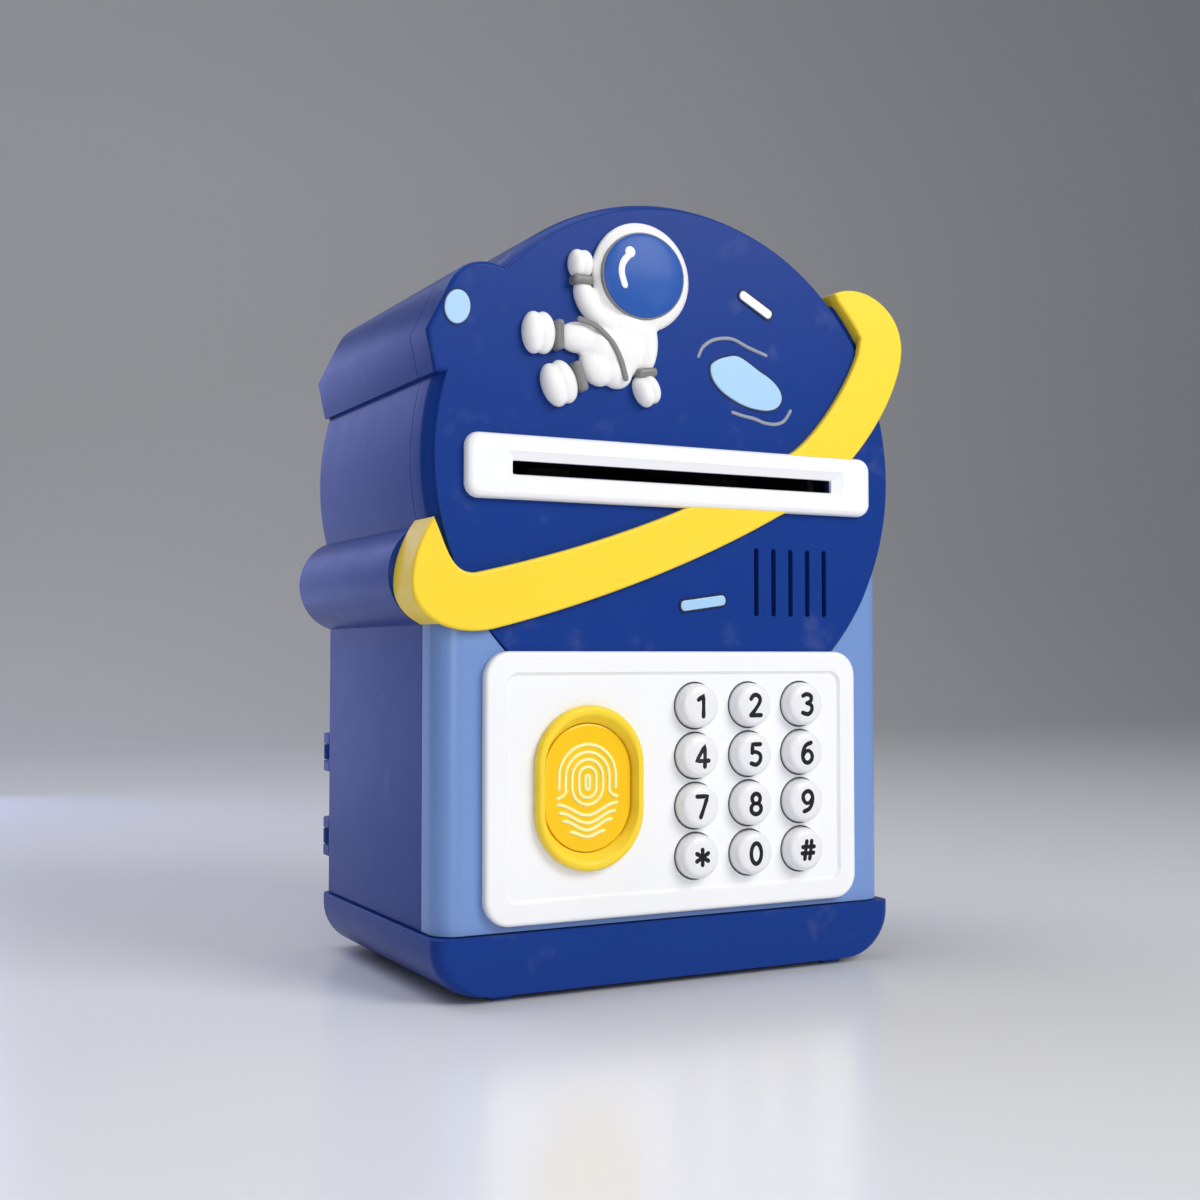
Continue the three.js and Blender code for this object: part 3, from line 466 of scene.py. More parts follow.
def front_shell():
    """Planet face with a round outer edge, ear, right boss end, note slot and speaker slots."""
    disc, ear, box = form("front_shell_skin", 0, 0, SEAM_Y - 0.3, front=FACE_EDGE)
    remove([box])
    low = slab("low", rounded(-90, 90, -10, SHOULDER_Z, 1, 1), -5, 20)
    shell = combine(combine(disc, [ear], "UNION"), [low], "DIFFERENCE")
    rim = slab("rim", arc(0, HEAD_Z, RIM_R, 0, 357.5, 143), 0, WALL, front=0.45, steps=3)
    window = slab("window", rounded(-90, 90, -10, 80.5, 1, 1), -5, 20)
    rim = combine(rim, [window], "DIFFERENCE")
    x, z = BOSSES["right"]
    boss = slab("boss_right", arc(x, z, BOSS_R, 0, 354, 59), 1.6, SEAM_Y - 0.3, front=1.3, steps=3)
    shell = combine(shell, [rim, boss], "UNION")
    hollow, hollow_ear, hollow_box = form("hollow", WALL, WALL, SEAM_Y)
    remove([hollow_box])
    mouth = rounded(-SLOT_HALF - 0.6, SLOT_HALF + 0.6, SLOT_LOW - GAP, SLOT_HIGH + GAP, 0.5, 2)
    cuts = [hollow, hollow_ear, slab("note_slot", mouth, -1, 4)]
    for i in range(GRILLE_SLOTS):
        x = GRILLE_X + (i - (GRILLE_SLOTS - 1) / 2) * GRILLE_PITCH
        cuts.append(slab("grille_slot", stadium(x, GRILLE_Z, 0.72, 8.3, 10), -1, 4))
    return combine(shell, cuts, "DIFFERENCE")


def shade_groove():
    """Painted shade: a dark core behind the seam, in place of the shadow in the joint between the shells, so that
    the joint reads as a line.
    """
    disc, ear, box = form("seam_painted_shade", 0.7, SEAM_Y - 1.4, SEAM_Y + 0.9)
    inner = form("seam_inner", WALL - 0.3, SEAM_Y - 3, SEAM_Y + 3)
    core = combine(disc, [ear, box], "UNION")
    return combine(core, list(inner), "DIFFERENCE")


def rear_shell():
    disc, ear, box = form("rear_shell_skin", 0, SEAM_Y, REAR_Y, back=3.2)
    bosses = [slab("boss_" + side, arc(x, z, BOSS_R, 0, 354, 59), SEAM_Y, REAR_Y - 0.4, back=1.5, steps=4)
              for side, (x, z) in BOSSES.items()]
    shell = combine(disc, [ear, box] + bosses, "UNION")
    hollow, hollow_ear, hollow_box = form("hollow", WALL, SEAM_Y - 1, REAR_Y - WALL)
    cores = [slab("core", arc(x, z, BOSS_R - WALL, 0, 354, 59), SEAM_Y - 1, REAR_Y - WALL)
             for x, z in BOSSES.values()]
    shell = combine(shell, [hollow, hollow_ear, hollow_box] + cores, "DIFFERENCE")
    frame_ring = slab("stop_frame", rounded(DOOR_LEFT - 4, DOOR_X1 + 4, DOOR_Z0 - 3.5, DOOR_Z1 + 3.5, 3),
                      REAR_Y - 5, REAR_Y - 1)
    posts = [slab("post", arc(x, z, 4.4, 0, 350, 35), 13.3, REAR_Y - 1) for x, z in UPPER_POSTS + LOWER_POSTS]
    shell = combine(shell, [frame_ring] + posts, "UNION")
    cuts = [slab("sill", rounded(DOOR_LEFT + 2.5, DOOR_X1 - 2.5, DOOR_Z0 + 2.5, DOOR_Z1 - 2.5, 2), 78, 90),
            slab("opening", rounded(DOOR_LEFT - 0.45, DOOR_X1 + 0.45, DOOR_Z0 - 0.45, DOOR_Z1 + 0.45, 3),
                 REAR_Y - 2.5, REAR_Y + 1)]
    for x, z in UPPER_POSTS + LOWER_POSTS:
        cuts.append(slab("head_hole", arc(x, z, 3.2, 0, 345, 23), 20, REAR_Y + 1))
        cuts.append(slab("screw_hole", arc(x, z, 1.6, 0, 340, 17), 12, 21))
    coin = rounded(-15, 15, HEAD_Z + HEAD_R - 8, HEAD_Z + HEAD_R + 1, 0.4, 2)
    cuts.append(slab("coin_slot", coin, 56.4, 59.6))
    shell = combine(shell, cuts, "DIFFERENCE")
    ears = []
    for low in HINGE_LOW:
        for z0, z1 in ((low, low + 3), (low + HINGE_TALL - 3, low + HINGE_TALL)):
            ears.append(hinge_knuckle("shell_ear", z0, z1, -1))
    return combine(shell, ears, "UNION")


def hinge_knuckle(name, z0, z1, reach):
    """A barrel with a web that runs to the shell (reach below 0) or along the back to the door."""
    outer = [(HINGE_X + HINGE_R * math.cos(a), HINGE_Y + HINGE_R * math.sin(a))
             for a in (math.radians(180 * i / 16) for i in range(17))]
    outer += [(HINGE_X - HINGE_R, REAR_Y - 1), (HINGE_X + HINGE_R, REAR_Y - 1)]
    if reach > 0:
        turn = [math.radians(-60 + (240 * i / 20)) for i in range(21)]
        outer = [(HINGE_X + HINGE_R * math.cos(a), HINGE_Y + HINGE_R * math.sin(a)) for a in turn]
        outer = ([(DOOR_LEFT + reach, REAR_Y + 0.6), (DOOR_LEFT + reach, REAR_Y + 2.9)] + outer[5:]
                 + arc(HINGE_X, HINGE_Y, HINGE_R, 180, 298, 12))
    rings = []
    for grow, z in ((0.25, z0), (0, z0 + 0.25), (0, z1 - 0.25), (0.25, z1)):
        rings.append([(x, y, z) for x, y in inset(outer, grow)])
    knuckle = loft(name, rings)
    bore = rod_z("bore", HINGE_X, HINGE_Y, 1.25, z0 - 1, z1 + 1, edge=0.01)
    return combine(knuckle, [bore], "DIFFERENCE")


def fascia():
    """The light lower front, whose rounded corners wrap back to the seam."""
    def wrap(name, shrink, z0, z1):
        half = BODY_HALF - shrink
        plan = rounded(-half, half, 0.6 + shrink, 40, 6 - shrink, 8)
        return loft(name, [[(x, y, z) for x, y in plan] for z in (z0, z1)])

    top = SHOULDER_Z - 0.3
    skin = combine(wrap("lower_fascia_skin", 0, BODY_LOW, top), [wrap("inside", WALL, 0, 130)], "DIFFERENCE")
    cuts = [brick("behind", -90, 90, SEAM_Y - 0.3, 60, 0, 130),
            slab("planet", arc(0, HEAD_Z, RIM_R + 0.3, 0, 357.5, 143), -1, 3.2),
            slab("window", rounded(-46, 48, 24, 90, 3), -1, 4)]
    return combine(skin, cuts, "DIFFERENCE")


def base_tray():
    """The shallow base: its sides curve in to a flat bottom with the battery bay; its four feet are built in feet().
    """
    def bowl(name, shrink, z0, z1):
        rings = []
        steps = 10
        radius = 12 - shrink
        for i in range(steps + 1):
            a = math.pi / 2 * (1 - i / steps)
            pull = radius * (1 - math.cos(a))
            half = TRAY_HALF - shrink - pull
            z = z0 + radius * (1 - math.sin(a))
            ends = min(0.35, 0.12 * pull)
            rings.append([(x, y, min(z, z1)) for x, y in
                          rounded(-half, half, TRAY_FRONT + shrink + ends, TRAY_REAR - shrink - ends, 3.8, 6)])
        half = TRAY_HALF - shrink
        plan = rounded(-half, half, TRAY_FRONT + shrink, TRAY_REAR - shrink, 3.8, 6)
        rings.append([(x, y, z1 - 0.15) for x, y in plan])
        rings.append([(x, y, z1) for x, y in inset(plan, 0.15)])
        return loft(name, rings)

    tray = combine(bowl("base_tray_skin", 0, 1.5, 16), [bowl("inside", WALL, 4, 20)], "DIFFERENCE")
    bay = brick("bay_box", -32.8, 32.8, 20.2, 68.8, 2.5, 21)
    pillar = rod_z("pillar", 0, 72.5, 4, 2.5, 12)
    tray = combine(tray, [bay, pillar], "UNION")
    cuts = [brick("bay", -31, 31, 22, 67, -1, 19.4), brick("tab", -5.3, 5.3, 66, 77.3, -1, 3.6),
            rod_z("pilot", 0, 72.5, 1.3, 1, 11)]
    cuts += [rod_z("screw", side * 57, 72, 1.7, -1, 8) for side in (-1, 1)]
    return combine(tray, cuts, "DIFFERENCE")


def feet():
    made = []
    for x in (-48.8, 48.8):
        for y in (1.5, 76):
            plan = rounded(x - 3.3, x + 3.3, y, y + 8, 0.9, 4)
            rings = [[(px, py, z) for px, py in inset(plan, grow)]
                     for grow, z in ((0.9, 0), (0.35, 0.25), (0, 0.9), (0, 2.4))]
            made.append(loft("foot", rings))
    return join("tray_feet", made)


# ------------------------------------------------------------------ camera, lights and floor

EYE = (-201.952, -340.415, 82.952)
EYE_YAW, EYE_PITCH = 27.759, 2.062


def camera():
    """From the front left, a little below the planet's middle."""
    data = bpy.data.cameras.new("camera")
    data.lens = 46.21
    data.sensor_width = 36
    data.clip_start, data.clip_end = 0.01, 10
    eye = bpy.data.objects.new("camera", data)
    bpy.context.scene.collection.objects.link(eye)
    yaw, pitch = math.radians(EYE_YAW), math.radians(EYE_PITCH)
    look = Vector((math.sin(yaw) * math.cos(pitch), math.cos(yaw) * math.cos(pitch), math.sin(pitch)))
    eye.location = place(*EYE)
    eye.rotation_mode = "QUATERNION"
    eye.rotation_quaternion = look.to_track_quat("-Z", "Y")
    bpy.context.scene.camera = eye


def area_light(name, spot, target, size, power, colour=(1, 1, 1)):
    data = bpy.data.lights.new(name, "AREA")
    data.shape = "RECTANGLE"
    data.size, data.size_y = size
    data.energy = power
    data.color = colour
    light = bpy.data.objects.new(name, data)
    light.location = Vector(spot)
    light.visible_camera = False
    light.rotation_mode = "QUATERNION"
    light.rotation_quaternion = (Vector(target) - Vector(spot)).to_track_quat("-Z", "Y")
    bpy.context.scene.collection.objects.link(light)


def studio():
    scene = bpy.context.scene
    scene.view_settings.view_transform = "Standard"
    world = bpy.data.worlds.new("pale_room")
    scene.world = world
    world.use_nodes = True
    world.node_tree.nodes["Background"].inputs["Color"].default_value = (0.86, 0.9, 1.0, 1)
    world.node_tree.nodes["Background"].inputs["Strength"].default_value = 0.17
    area_light("key_light", (0.45, -0.85, 0.7), (0, 0, 0.1), (0.6, 0.6), 8.2)
    area_light("fill_light", (-0.35, -1.0, 0.25), (0, 0, 0.1), (0.5, 0.5), 2.4)
    area_light("top_light", (-0.2, 0.1, 1.0), (0, 0, 0.15), (0.8, 0.7), 3.6)
    area_light("high_back_panel", (-0.45, 0.75, 0.95), (0, 0, 0.18), (1.0, 0.5), 4.0, (0.7, 0.74, 1.0))
    area_light("violet_panel", tuple(place(-185, 600, 150)), tuple(place(-66, 50, 80)), (0.17, 0.45), 0.55,
               (0.45, 0.5, 1.0))


def pale_floor():
    material = bpy.data.materials.new("pale_floor")
    material.use_nodes = True
    tree = material.node_tree
    shader = tree.nodes["Principled BSDF"]
    shader.inputs["Roughness"].default_value = 0.22
    noise = tree.nodes.new("ShaderNodeTexNoise")
    noise.inputs["Scale"].default_value = 3
    tint = tree.nodes.new("ShaderNodeMix")
    tint.data_type = "RGBA"
    tint.inputs[6].default_value = (0.80, 0.80, 0.81, 1)
    tint.inputs[7].default_value = (0.84, 0.84, 0.84, 1)
    tree.links.new(noise.outputs["Fac"], tint.inputs["Factor"])
    tree.links.new(tint.outputs[2], shader.inputs["Base Color"])
    mesh = bpy.data.meshes.new("floor")
    rows = []
    for i in range(25):
        turn = min(1, max(0, (i - 12) / 12)) * math.pi / 2
        if i <= 12:
            rows.append((-2.0 + i * 0.25, 0.0))
        else:
            rows.append((1.0 + 0.8 * math.sin(turn), 0.8 * (1 - math.cos(turn))))
    rows.append((1.8, 3.5))
    verts = [(x, y, z) for y, z in rows for x in (-4, 4)]
    faces = [(2 * i, 2 * i + 1, 2 * i + 3, 2 * i + 2) for i in range(len(rows) - 1)]
    mesh.from_pydata(verts, [], faces)
    floor = bpy.data.objects.new("floor", mesh)
    bpy.context.scene.collection.objects.link(floor)
    mesh.materials.append(material)
    shade(floor)


# ------------------------------------------------------------------ trim on the face

RING = ([(-67.8, 115.8)] + bezier((-67.8, 115.8), (-70.5, 112), (-73.3, 106.5), (-73.3, 100), 12)
        + bezier((-73.3, 100), (-73.3, 91.5), (-62, 86.6), (-50.8, 89.7), 22)
        + bezier((-50.8, 89.7), (-26, 95.7), (5, 106.6), (30.3, 119.9), 26)
        + bezier((30.3, 119.9), (55, 130), (71.5, 156), (71.5, 168), 28)
        + bezier((71.5, 168), (71.5, 180.5), (57, 186), (48.5, 181.4), 22)
        + arc(0, HEAD_Z, 69.3, math.degrees(0.775), math.degrees(0.6), 5)
        + [(56.4, 165.6)]
        + bezier((56.4, 165.6), (53.5, 157.5), (44, 143.8), (35.5, 137.7), 18)
        + bezier((35.5, 137.7), (7.5, 120.7), (-27.1, 109.4), (-57.1, 102.8), 26)
        + bezier((-57.1, 102.8), (-63.5, 102.2), (-64.5, 109), (-67.8, 115.8), 16)[:-1])


def ring_trim():
    """Flat yellow ring that crosses the face and wraps back over the two side bosses."""
    plate = slab("ring_trim_skin", RING, -2, -0.3, front=0.8, back=0, steps=4)
    deep = slab("deep", inset(RING, 0.03), -1.1, SEAM_Y - 0.3)
    planet = slab("planet", arc(0, HEAD_Z, HEAD_R + 0.3, 0, 357.5, 143), -3, 20)
    inner = slab("inner", rounded(-BODY_HALF - 0.3, BODY_HALF + 0.3, 0, SHOULDER_Z + 0.3, 0.5, 2), -3, 20)
    deep = combine(deep, [planet, inner], "DIFFERENCE")
    ring = combine(plate, [deep], "UNION")
    under = slab("under", rounded(-BEZEL_HALF + GAP, BEZEL_HALF - GAP, BEZEL_LOW + GAP, BEZEL_HIGH - GAP, 3.2),
                 -5, 2)
    return combine(ring, [under], "DIFFERENCE")


def note_bezel():
    """White slot surround: rounded bar, sunk mouth whose walls slope in to the slot."""
    def bar(x0, x1, z0, z1, r, y):
        return at_depth(rounded(x0, x1, z0, z1, r, 7), y)

    front = -2.6
    rings = [bar(-BEZEL_HALF, BEZEL_HALF, BEZEL_LOW, BEZEL_HIGH, 3.5, -GAP)]
    for d, i in ((1.6, 0.0), (0.8, 0.25), (0.3, 0.75), (0.0, 1.5)):
        rings.append(bar(-BEZEL_HALF + i, BEZEL_HALF - i, BEZEL_LOW + i, BEZEL_HIGH - i, 3.6 - i, front + d))
    rings += [bar(-49.3, 50.3, 126.3, 132.5, 1.0, front), bar(-49.0, 50.0, 126.6, 132.2, 0.8, front + 0.25),
              bar(-SLOT_HALF, SLOT_HALF, SLOT_LOW, SLOT_HIGH, 0.5, front + 1.3),
              bar(-SLOT_HALF, SLOT_HALF, SLOT_LOW, SLOT_HIGH, 0.5, -0.3)]
    return loft("note_bezel_skin", rings, closed=True, smooth=30)


def keypad_panel():
    plate = slab("keypad_panel_skin", rounded(-54.5, 54.5, 17.8, 84, 6.5, 10), -2, 0.3, front=1.1, steps=4)
    field = rounded(-49, 49, 23.3, 78.5, 3, 6)
    sunk = loft("field", [at_depth(inset(field, -0.5), -3), at_depth(inset(field, -0.35), -2.01),
                          at_depth(inset(field, 0.15), -1.45), at_depth(inset(field, 0.5), -1.3)])
    planet = slab("planet", arc(0, HEAD_Z, RIM_R + 0.3, 0, 357.5, 143), -0.3, 3)
    holes = [slab("key_hole", arc(x, z, 5.95, 0, 352.5, 47), -5, 3) for x, z in key_places().values()]
    holes.append(slab("print_hole", stadium(PRINT_X, PRINT_Z, 13.55, 5.6), -5, 3))
    return combine(plate, [sunk, planet] + holes, "DIFFERENCE")


KEY_NAMES = ("key_1", "key_2", "key_3", "key_4", "key_5", "key_6", "key_7", "key_8", "key_9",
             "key_star", "key_0", "key_hash")
PRINT_X, PRINT_Z = -26.85, 50.35


def key_places():
    """Each key's middle in x and z, from its CAD node."""
    places = {}
    for name in KEY_NAMES:
        x0, x1, _, _, z0, z1 = span(name)
        places[name] = ((x0 + x1) / 2, (z0 + z1) / 2)
    return places


def key_cap(name, x, z):
    low = span(name)[2]
    profile = [(0.6, low), (3.0, low + 0.05), (4.25, low + 0.2), (4.95, low + 0.55), (5.35, low + 1.05),
               (5.6, low + 1.8), (5.72, low + 3.0), (5.75, 0.7), (6.2, 0.7), (6.2, 1.6), (2.2, 3.2)]
    return lathe_y(name + "_skin", x, z, profile, sides=64, smooth=35)


def key_gap_shade():
    """Painted shade: dark rings round the key holes, just above the sunk field, standing in for the shadow in the
    gap round each key.
    """
    shade_rings = []
    for x, z in key_places().values():
        section = ((5.83, -1.0), (5.83, -1.33), (6.15, -1.33), (6.15, -1.0))
        rings = [at_depth(arc(x, z, r, 0, 352.5, 47), y) for r, y in section]
        shade_rings.append(loft("rim", rings, closed=True))
    return join("key_hole_painted_shade", shade_rings)


DIGIT_SCALE = 1.08
TALL, WIDE = 2.42, 1.4  # half height and half width of a digit's centre line
SIX = [(1.0, 2.4), (-0.5, 1.75), (-1.35, 0.1), (-1.3, -1.4), (-0.6, -2.3), (0.4, -2.35), (1.25, -1.6),
       (1.25, -0.45), (0.45, 0.4), (-0.5, 0.3), (-1.25, -0.55)]


def loop(cz, half_x, half_z):
    return [(half_x * math.sin(a), cz + half_z * math.cos(a)) for a in (math.pi * i / 14 for i in range(29))]


GLYPHS = {
    "key_1": [[(-0.95, 1.5), (0.35, TALL), (0.35, -TALL)]],
    "key_2": [smooth_path([(-1.3, 1.5), (-0.7, 2.25), (0.3, 2.4), (1.15, 1.7), (1.05, 0.6), (-0.1, -1.0),
                           (-1.35, -TALL)], 5), [(-1.35, -TALL), (1.5, -TALL)]],
    "key_3": [smooth_path([(-1.25, 2.05), (-0.2, 2.42), (1.05, 1.95), (1.0, 0.8), (-0.2, 0.25)], 5),
              smooth_path([(-0.2, 0.25), (1.15, -0.3), (1.25, -1.6), (0.2, -2.42), (-1.35, -2.05)], 5)],
    "key_4": [[(0.7, -TALL), (0.7, TALL), (-1.55, -1.05), (1.7, -1.05)]],
    "key_5": [[(1.25, TALL), (-0.95, TALL), (-1.05, 0.4)],
              smooth_path([(-1.05, 0.4), (-0.1, 0.6), (1.15, -0.1), (1.15, -1.5), (0.1, -2.42), (-1.3, -2.1)], 5)],
    "key_6": [smooth_path(SIX, 4)],
    "key_7": [[(-WIDE, TALL), (WIDE, TALL), (-0.45, -TALL)]],
    "key_8": [loop(1.25, 1.12, 1.17), loop(-1.13, WIDE, 1.28)],
    "key_9": [smooth_path([(-x, -z) for x, z in SIX], 4)],
    "key_0": [loop(0, WIDE, TALL)],
    "key_star": [[(-1.75 * math.cos(a), -1.75 * math.sin(a)), (1.75 * math.cos(a), 1.75 * math.sin(a))]
                 for a in (math.radians(t) for t in (90, 30, -30))],
    "key_hash": [[(-0.95, -2.1), (-0.35, 2.1)], [(0.5, -2.1), (1.1, 2.1)], [(-1.5, 0.75), (1.8, 0.75)],
                 [(-1.7, -0.75), (1.6, -0.75)]],
}


def key_mark(name, x, z):
    """The printed character: flat strokes that follow the cap's dome."""
    front = span(name)[2]
    strokes = []
    for line in GLYPHS[name]:
        dense = [line[0]]
        for (u0, v0), (u1, v1) in zip(line, line[1:]):
            parts = max(1, round(math.hypot(u1 - u0, v1 - v0) / 0.8))
            dense += [(u0 + (u1 - u0) * k / parts, v0 + (v1 - v0) * k / parts) for k in range(1, parts + 1)]
        big = [(u * DIGIT_SCALE, v * DIGIT_SCALE) for u, v in dense]
        dome = [(x + u, front + 0.03 + 0.02 * max(0, math.hypot(u, v) - 2) ** 2, z + v) for u, v in big]
        strokes.append(tube("stroke", dome, 0.6, flat=0.1))
    return join(name + "_print", strokes, 60)


# ------------------------------------------------------------------ fingerprint button

def fingerprint_rim():
    radius = 14.75
    rings = [at_depth(stadium(PRINT_X, PRINT_Z, r, s), y) for r, s, y in (
        (13.2, 5.5, 2.6), (13.2, 5.5, -1.6), (radius, 5.6, -1.6), (radius, 5.6, -2.9), (radius - 0.2, 5.6, -3.5),
        (radius - 0.6, 5.6, -3.85), (radius - 1.2, 5.5, -4.0), (radius - 1.7, 5.3, -3.9),
        (radius - 2.0, 5.0, -3.5), (12.35, 4.1, -1.7), (12.2, 3.8, -1.2), (12.2, 3.8, 2.6))]
    return loft("fingerprint_bezel_skin", rings, closed=True, smooth=35)


def fingerprint_dish():
    rings = [at_depth(stadium(PRINT_X, PRINT_Z, r, s), y) for r, s, y in (
        (13.1, 3.8, 3.6), (13.1, 3.8, 2.9), (12.0, 3.8, 2.9), (12.0, 3.8, -1.3), (11.85, 3.8, -1.5),
        (11.5, 3.8, -1.6), (11.0, 3.8, -1.6))]
    return loft("fingerprint_pad_skin", rings, smooth=35)


def ridge_paths():
    """Centre lines of the raised ridges: a pill in two loops under two arches, and waves below."""
    x, paths = PRINT_X - 0.3, []
    for half, low, high in ((0.55, 49.9, 53.4), (2.4, 47.9, 55.5), (4.25, 46.2, 57.3)):
        paths.append(arc(x, high - half, half, 0, 180, 14) + arc(x, low + half, half, 180, 360, 14)
                     + [(x + half, high - half)])
    flared = [(x - 6.05, 49.4)] + arc(x, 59.1 - 6.05, 6.05, 180, 0, 24) + [(x + 6.05, 49.4)]
    paths.append([(x - 8.2, 48.0), (x - 7.0, 48.4)] + flared + [(x + 7.0, 48.4), (x + 8.2, 48.0)])
    paths.append([(x - 7.85, 50.2)] + arc(x, 61.0 - 7.85, 7.85, 180, 0, 26) + [(x + 7.85, 50.2)])
    for end, dip, half in ((46.4, 43.6, 8.1), (44.4, 41.7, 7.6), (42.4, 39.9, 6.6), (39.6, 38.3, 4.6)):
        wave = [-1 + i / 8 for i in range(17)]
        paths.append([(x + half * w, dip + (end - dip) * (1 - math.cos(math.pi * w)) / 2) for w in wave])
    return paths


def fingerprint_ridges():
    strips = [tube("ridge", [(x, -1.6, z) for x, z in path], 0.46, flat=0.8) for path in ridge_paths()]
    return join("fingerprint_ridges", strips, 60)


# ------------------------------------------------------------------ astronaut relief

FIGURE_BACK = -0.3


def astronaut_body():
    """One soft white form: helmet, trunk, arms and legs, flat at the back."""
    lumps = [ball("astronaut_suit", -11.6, -0.9, 179, 14.1, 4.3, 14.1),
             ball("trunk", -17.5, -0.6, 160.5, 8.6, 3.4, 7.6, 50), ball("chest", -15.5, -0.8, 166, 7.4, 3.0, 5),
             ball("thigh", -29.5, -0.8, 162, 5.6, 2.9, 4.0), ball("hip", -23.5, -0.8, 160.5, 5.0, 3.1, 5.2),
             ball("shin", -24.5, -0.8, 154.8, 5.2, 2.9, 4.1, -42), ball("seat", -19, -0.7, 154.5, 5, 3.0, 4.4, -30)]
    lumps += [limb((-28.7, 174.8), (-25.2, 168.2), 3.0), limb((-9.4, 166), (-10.4, 156.2), 3.0),
              limb((-25.2, 168.2), (-19.5, 166), 3.1)]
    return melt("astronaut_suit", lumps, 0.45)


def limb(start, end, radius):
    (x0, z0), (x1, z1) = start, end
    length = math.hypot(x1 - x0, z1 - z0)
    turn = math.degrees(math.atan2(z1 - z0, x1 - x0))
    return ball("limb", (x0 + x1) / 2, -0.9, (z0 + z1) / 2, length / 2 + radius * 0.7, 2.7, radius, turn)


def melt(name, lumps, size, rounds=8):
    """Joins lumps into one skin, softens where they meet and cuts the back flat."""
    whole = join(name, lumps)
    step = whole.modifiers.new("remesh", "REMESH")
    step.mode = "VOXEL"
    step.voxel_size = size * MM
    soft = whole.modifiers.new("soften", "SMOOTH")
    soft.factor = 0.5
    soft.iterations = rounds
    take_modifiers(whole)
    cut = slab("behind", rounded(-60, 30, 130, 210, 1, 1), FIGURE_BACK, 8)
    combine(whole, [cut], "DIFFERENCE", 50)
    return whole


def bar(name, cx, cz, long, wide, tilt, front, edge=0.7):
    """A rounded bar, its length turned by tilt degrees from x."""
    c, s = math.cos(math.radians(tilt)), math.sin(math.radians(tilt))
    flat = rounded(-long / 2, long / 2, -wide / 2, wide / 2, wide * 0.42, 5)
    outline = [(cx + u * c - v * s, cz + u * s + v * c) for u, v in flat]
    return slab(name, outline, front, FIGURE_BACK, front=edge, steps=5, smooth=60)


# middle x and z, length or half length, width or half width, and tilt
CUFFS = ((-28.9, 176.3, 5.6, 2.5, 0), (-10.7, 154.6, 5.9, 2.4, 8),
         (-35.3, 162, 7.6, 2.3, 90), (-29.6, 152.1, 7.8, 2.6, 108))
MITTS = ((-28.9, 180.5, 3.7, 3.2, 90), (-10.0, 150.4, 4.2, 3.5, -62),
         (-40.4, 162.2, 5.3, 4.3, 92), (-34.8, 150.1, 5.6, 4.6, 112))


def figure_pieces():
    """The relief: suit, cuffs, mitts, belt, visor and glints."""
    finish_piece(astronaut_body(), SUIT_WHITE, "housing", "figure_white", "astronaut_figure")
    cuffs = [bar("cuff", cx, cz, long, wide, tilt, -3.6, 1.05) for cx, cz, long, wide, tilt in CUFFS]
    finish_piece(join("astronaut_cuffs", cuffs), SUIT_GREY, "housing", "figure_white")
    mitts = melt("astronaut_mitts", [lobe for mitt in MITTS for lobe in two_lobes(*mitt)], 0.3, 4)
    finish_piece(mitts, SUIT_WHITE, "housing", "figure_white")
    belt = [(-30.4, 166.0), (-26, 164.8), (-21.6, 161.4), (-19, 157.2), (-17.4, 152.4)]
    strap = tube("astronaut_belt", [(x, -3.75, z) for x, z in smooth_path(belt, 6)], 0.8, flat=0.6)
    finish_piece(strap, SUIT_GREY, "housing", "figure_white")
    rim = slab("astronaut_visor_rim", oval(-12.3, 178.8, 11.9, 11.1, 12), -4.0, -2, front=0.3, steps=3)
    finish_piece(rim, SUIT_GREY, "housing", "figure_white")
    lens = visor_lens(oval(-12.3, 178.8, 11.5, 10.7, 12))
    finish_piece(lens, VISOR, "housing", "visor_blue", "astronaut_visor")
    shine = tube("shine", [(x, -5.12, z) for x, z in
                           smooth_path([(-17.0, 183.6), (-18.9, 181.2), (-19.3, 178.6), (-18.4, 175.6)], 6)],
                 0.9, flat=0.3)
    spot = lathe_y("spot", -16.9, 184.1, [(0.3, -5.4), (1.0, -5.36), (1.4, -5.2), (1.4, -4.6)])
    finish_piece(join("astronaut_glints", [shine, spot], 60), SUIT_WHITE, "housing", "figure_white")


def two_lobes(x, z, half_long, half_wide, tilt):
    """A mitt or boot: two soft lobes side by side, with a crease where they meet."""
    c, s = math.cos(math.radians(tilt)), math.sin(math.radians(tilt))
    shift = half_wide * 0.3
    return [ball("lobe", x - s * shift * side, -0.9, z + c * shift * side, half_long, 3.1, half_wide * 0.72, tilt)
            for side in (-1, 1)]


def visor_lens(outline):
    """A bulging lens: the outline shrinks towards its middle as it rises."""
    centre = Vector((sum(x for x, _ in outline), sum(z for _, z in outline))) / len(outline)
    rings = [at_depth(outline, -3)]
    bulge = ((1.0, -4.05), (0.985, -4.2), (0.93, -4.45), (0.8, -4.8), (0.6, -5.1), (0.36, -5.3), (0.12, -5.38))
    for share, y in bulge:
        rings.append([(centre.x + (x - centre.x) * share, y, centre.y + (z - centre.y) * share) for x, z in outline])
    return loft("astronaut_visor_skin", rings, smooth=60)


# ------------------------------------------------------------------ flat inlays on the face

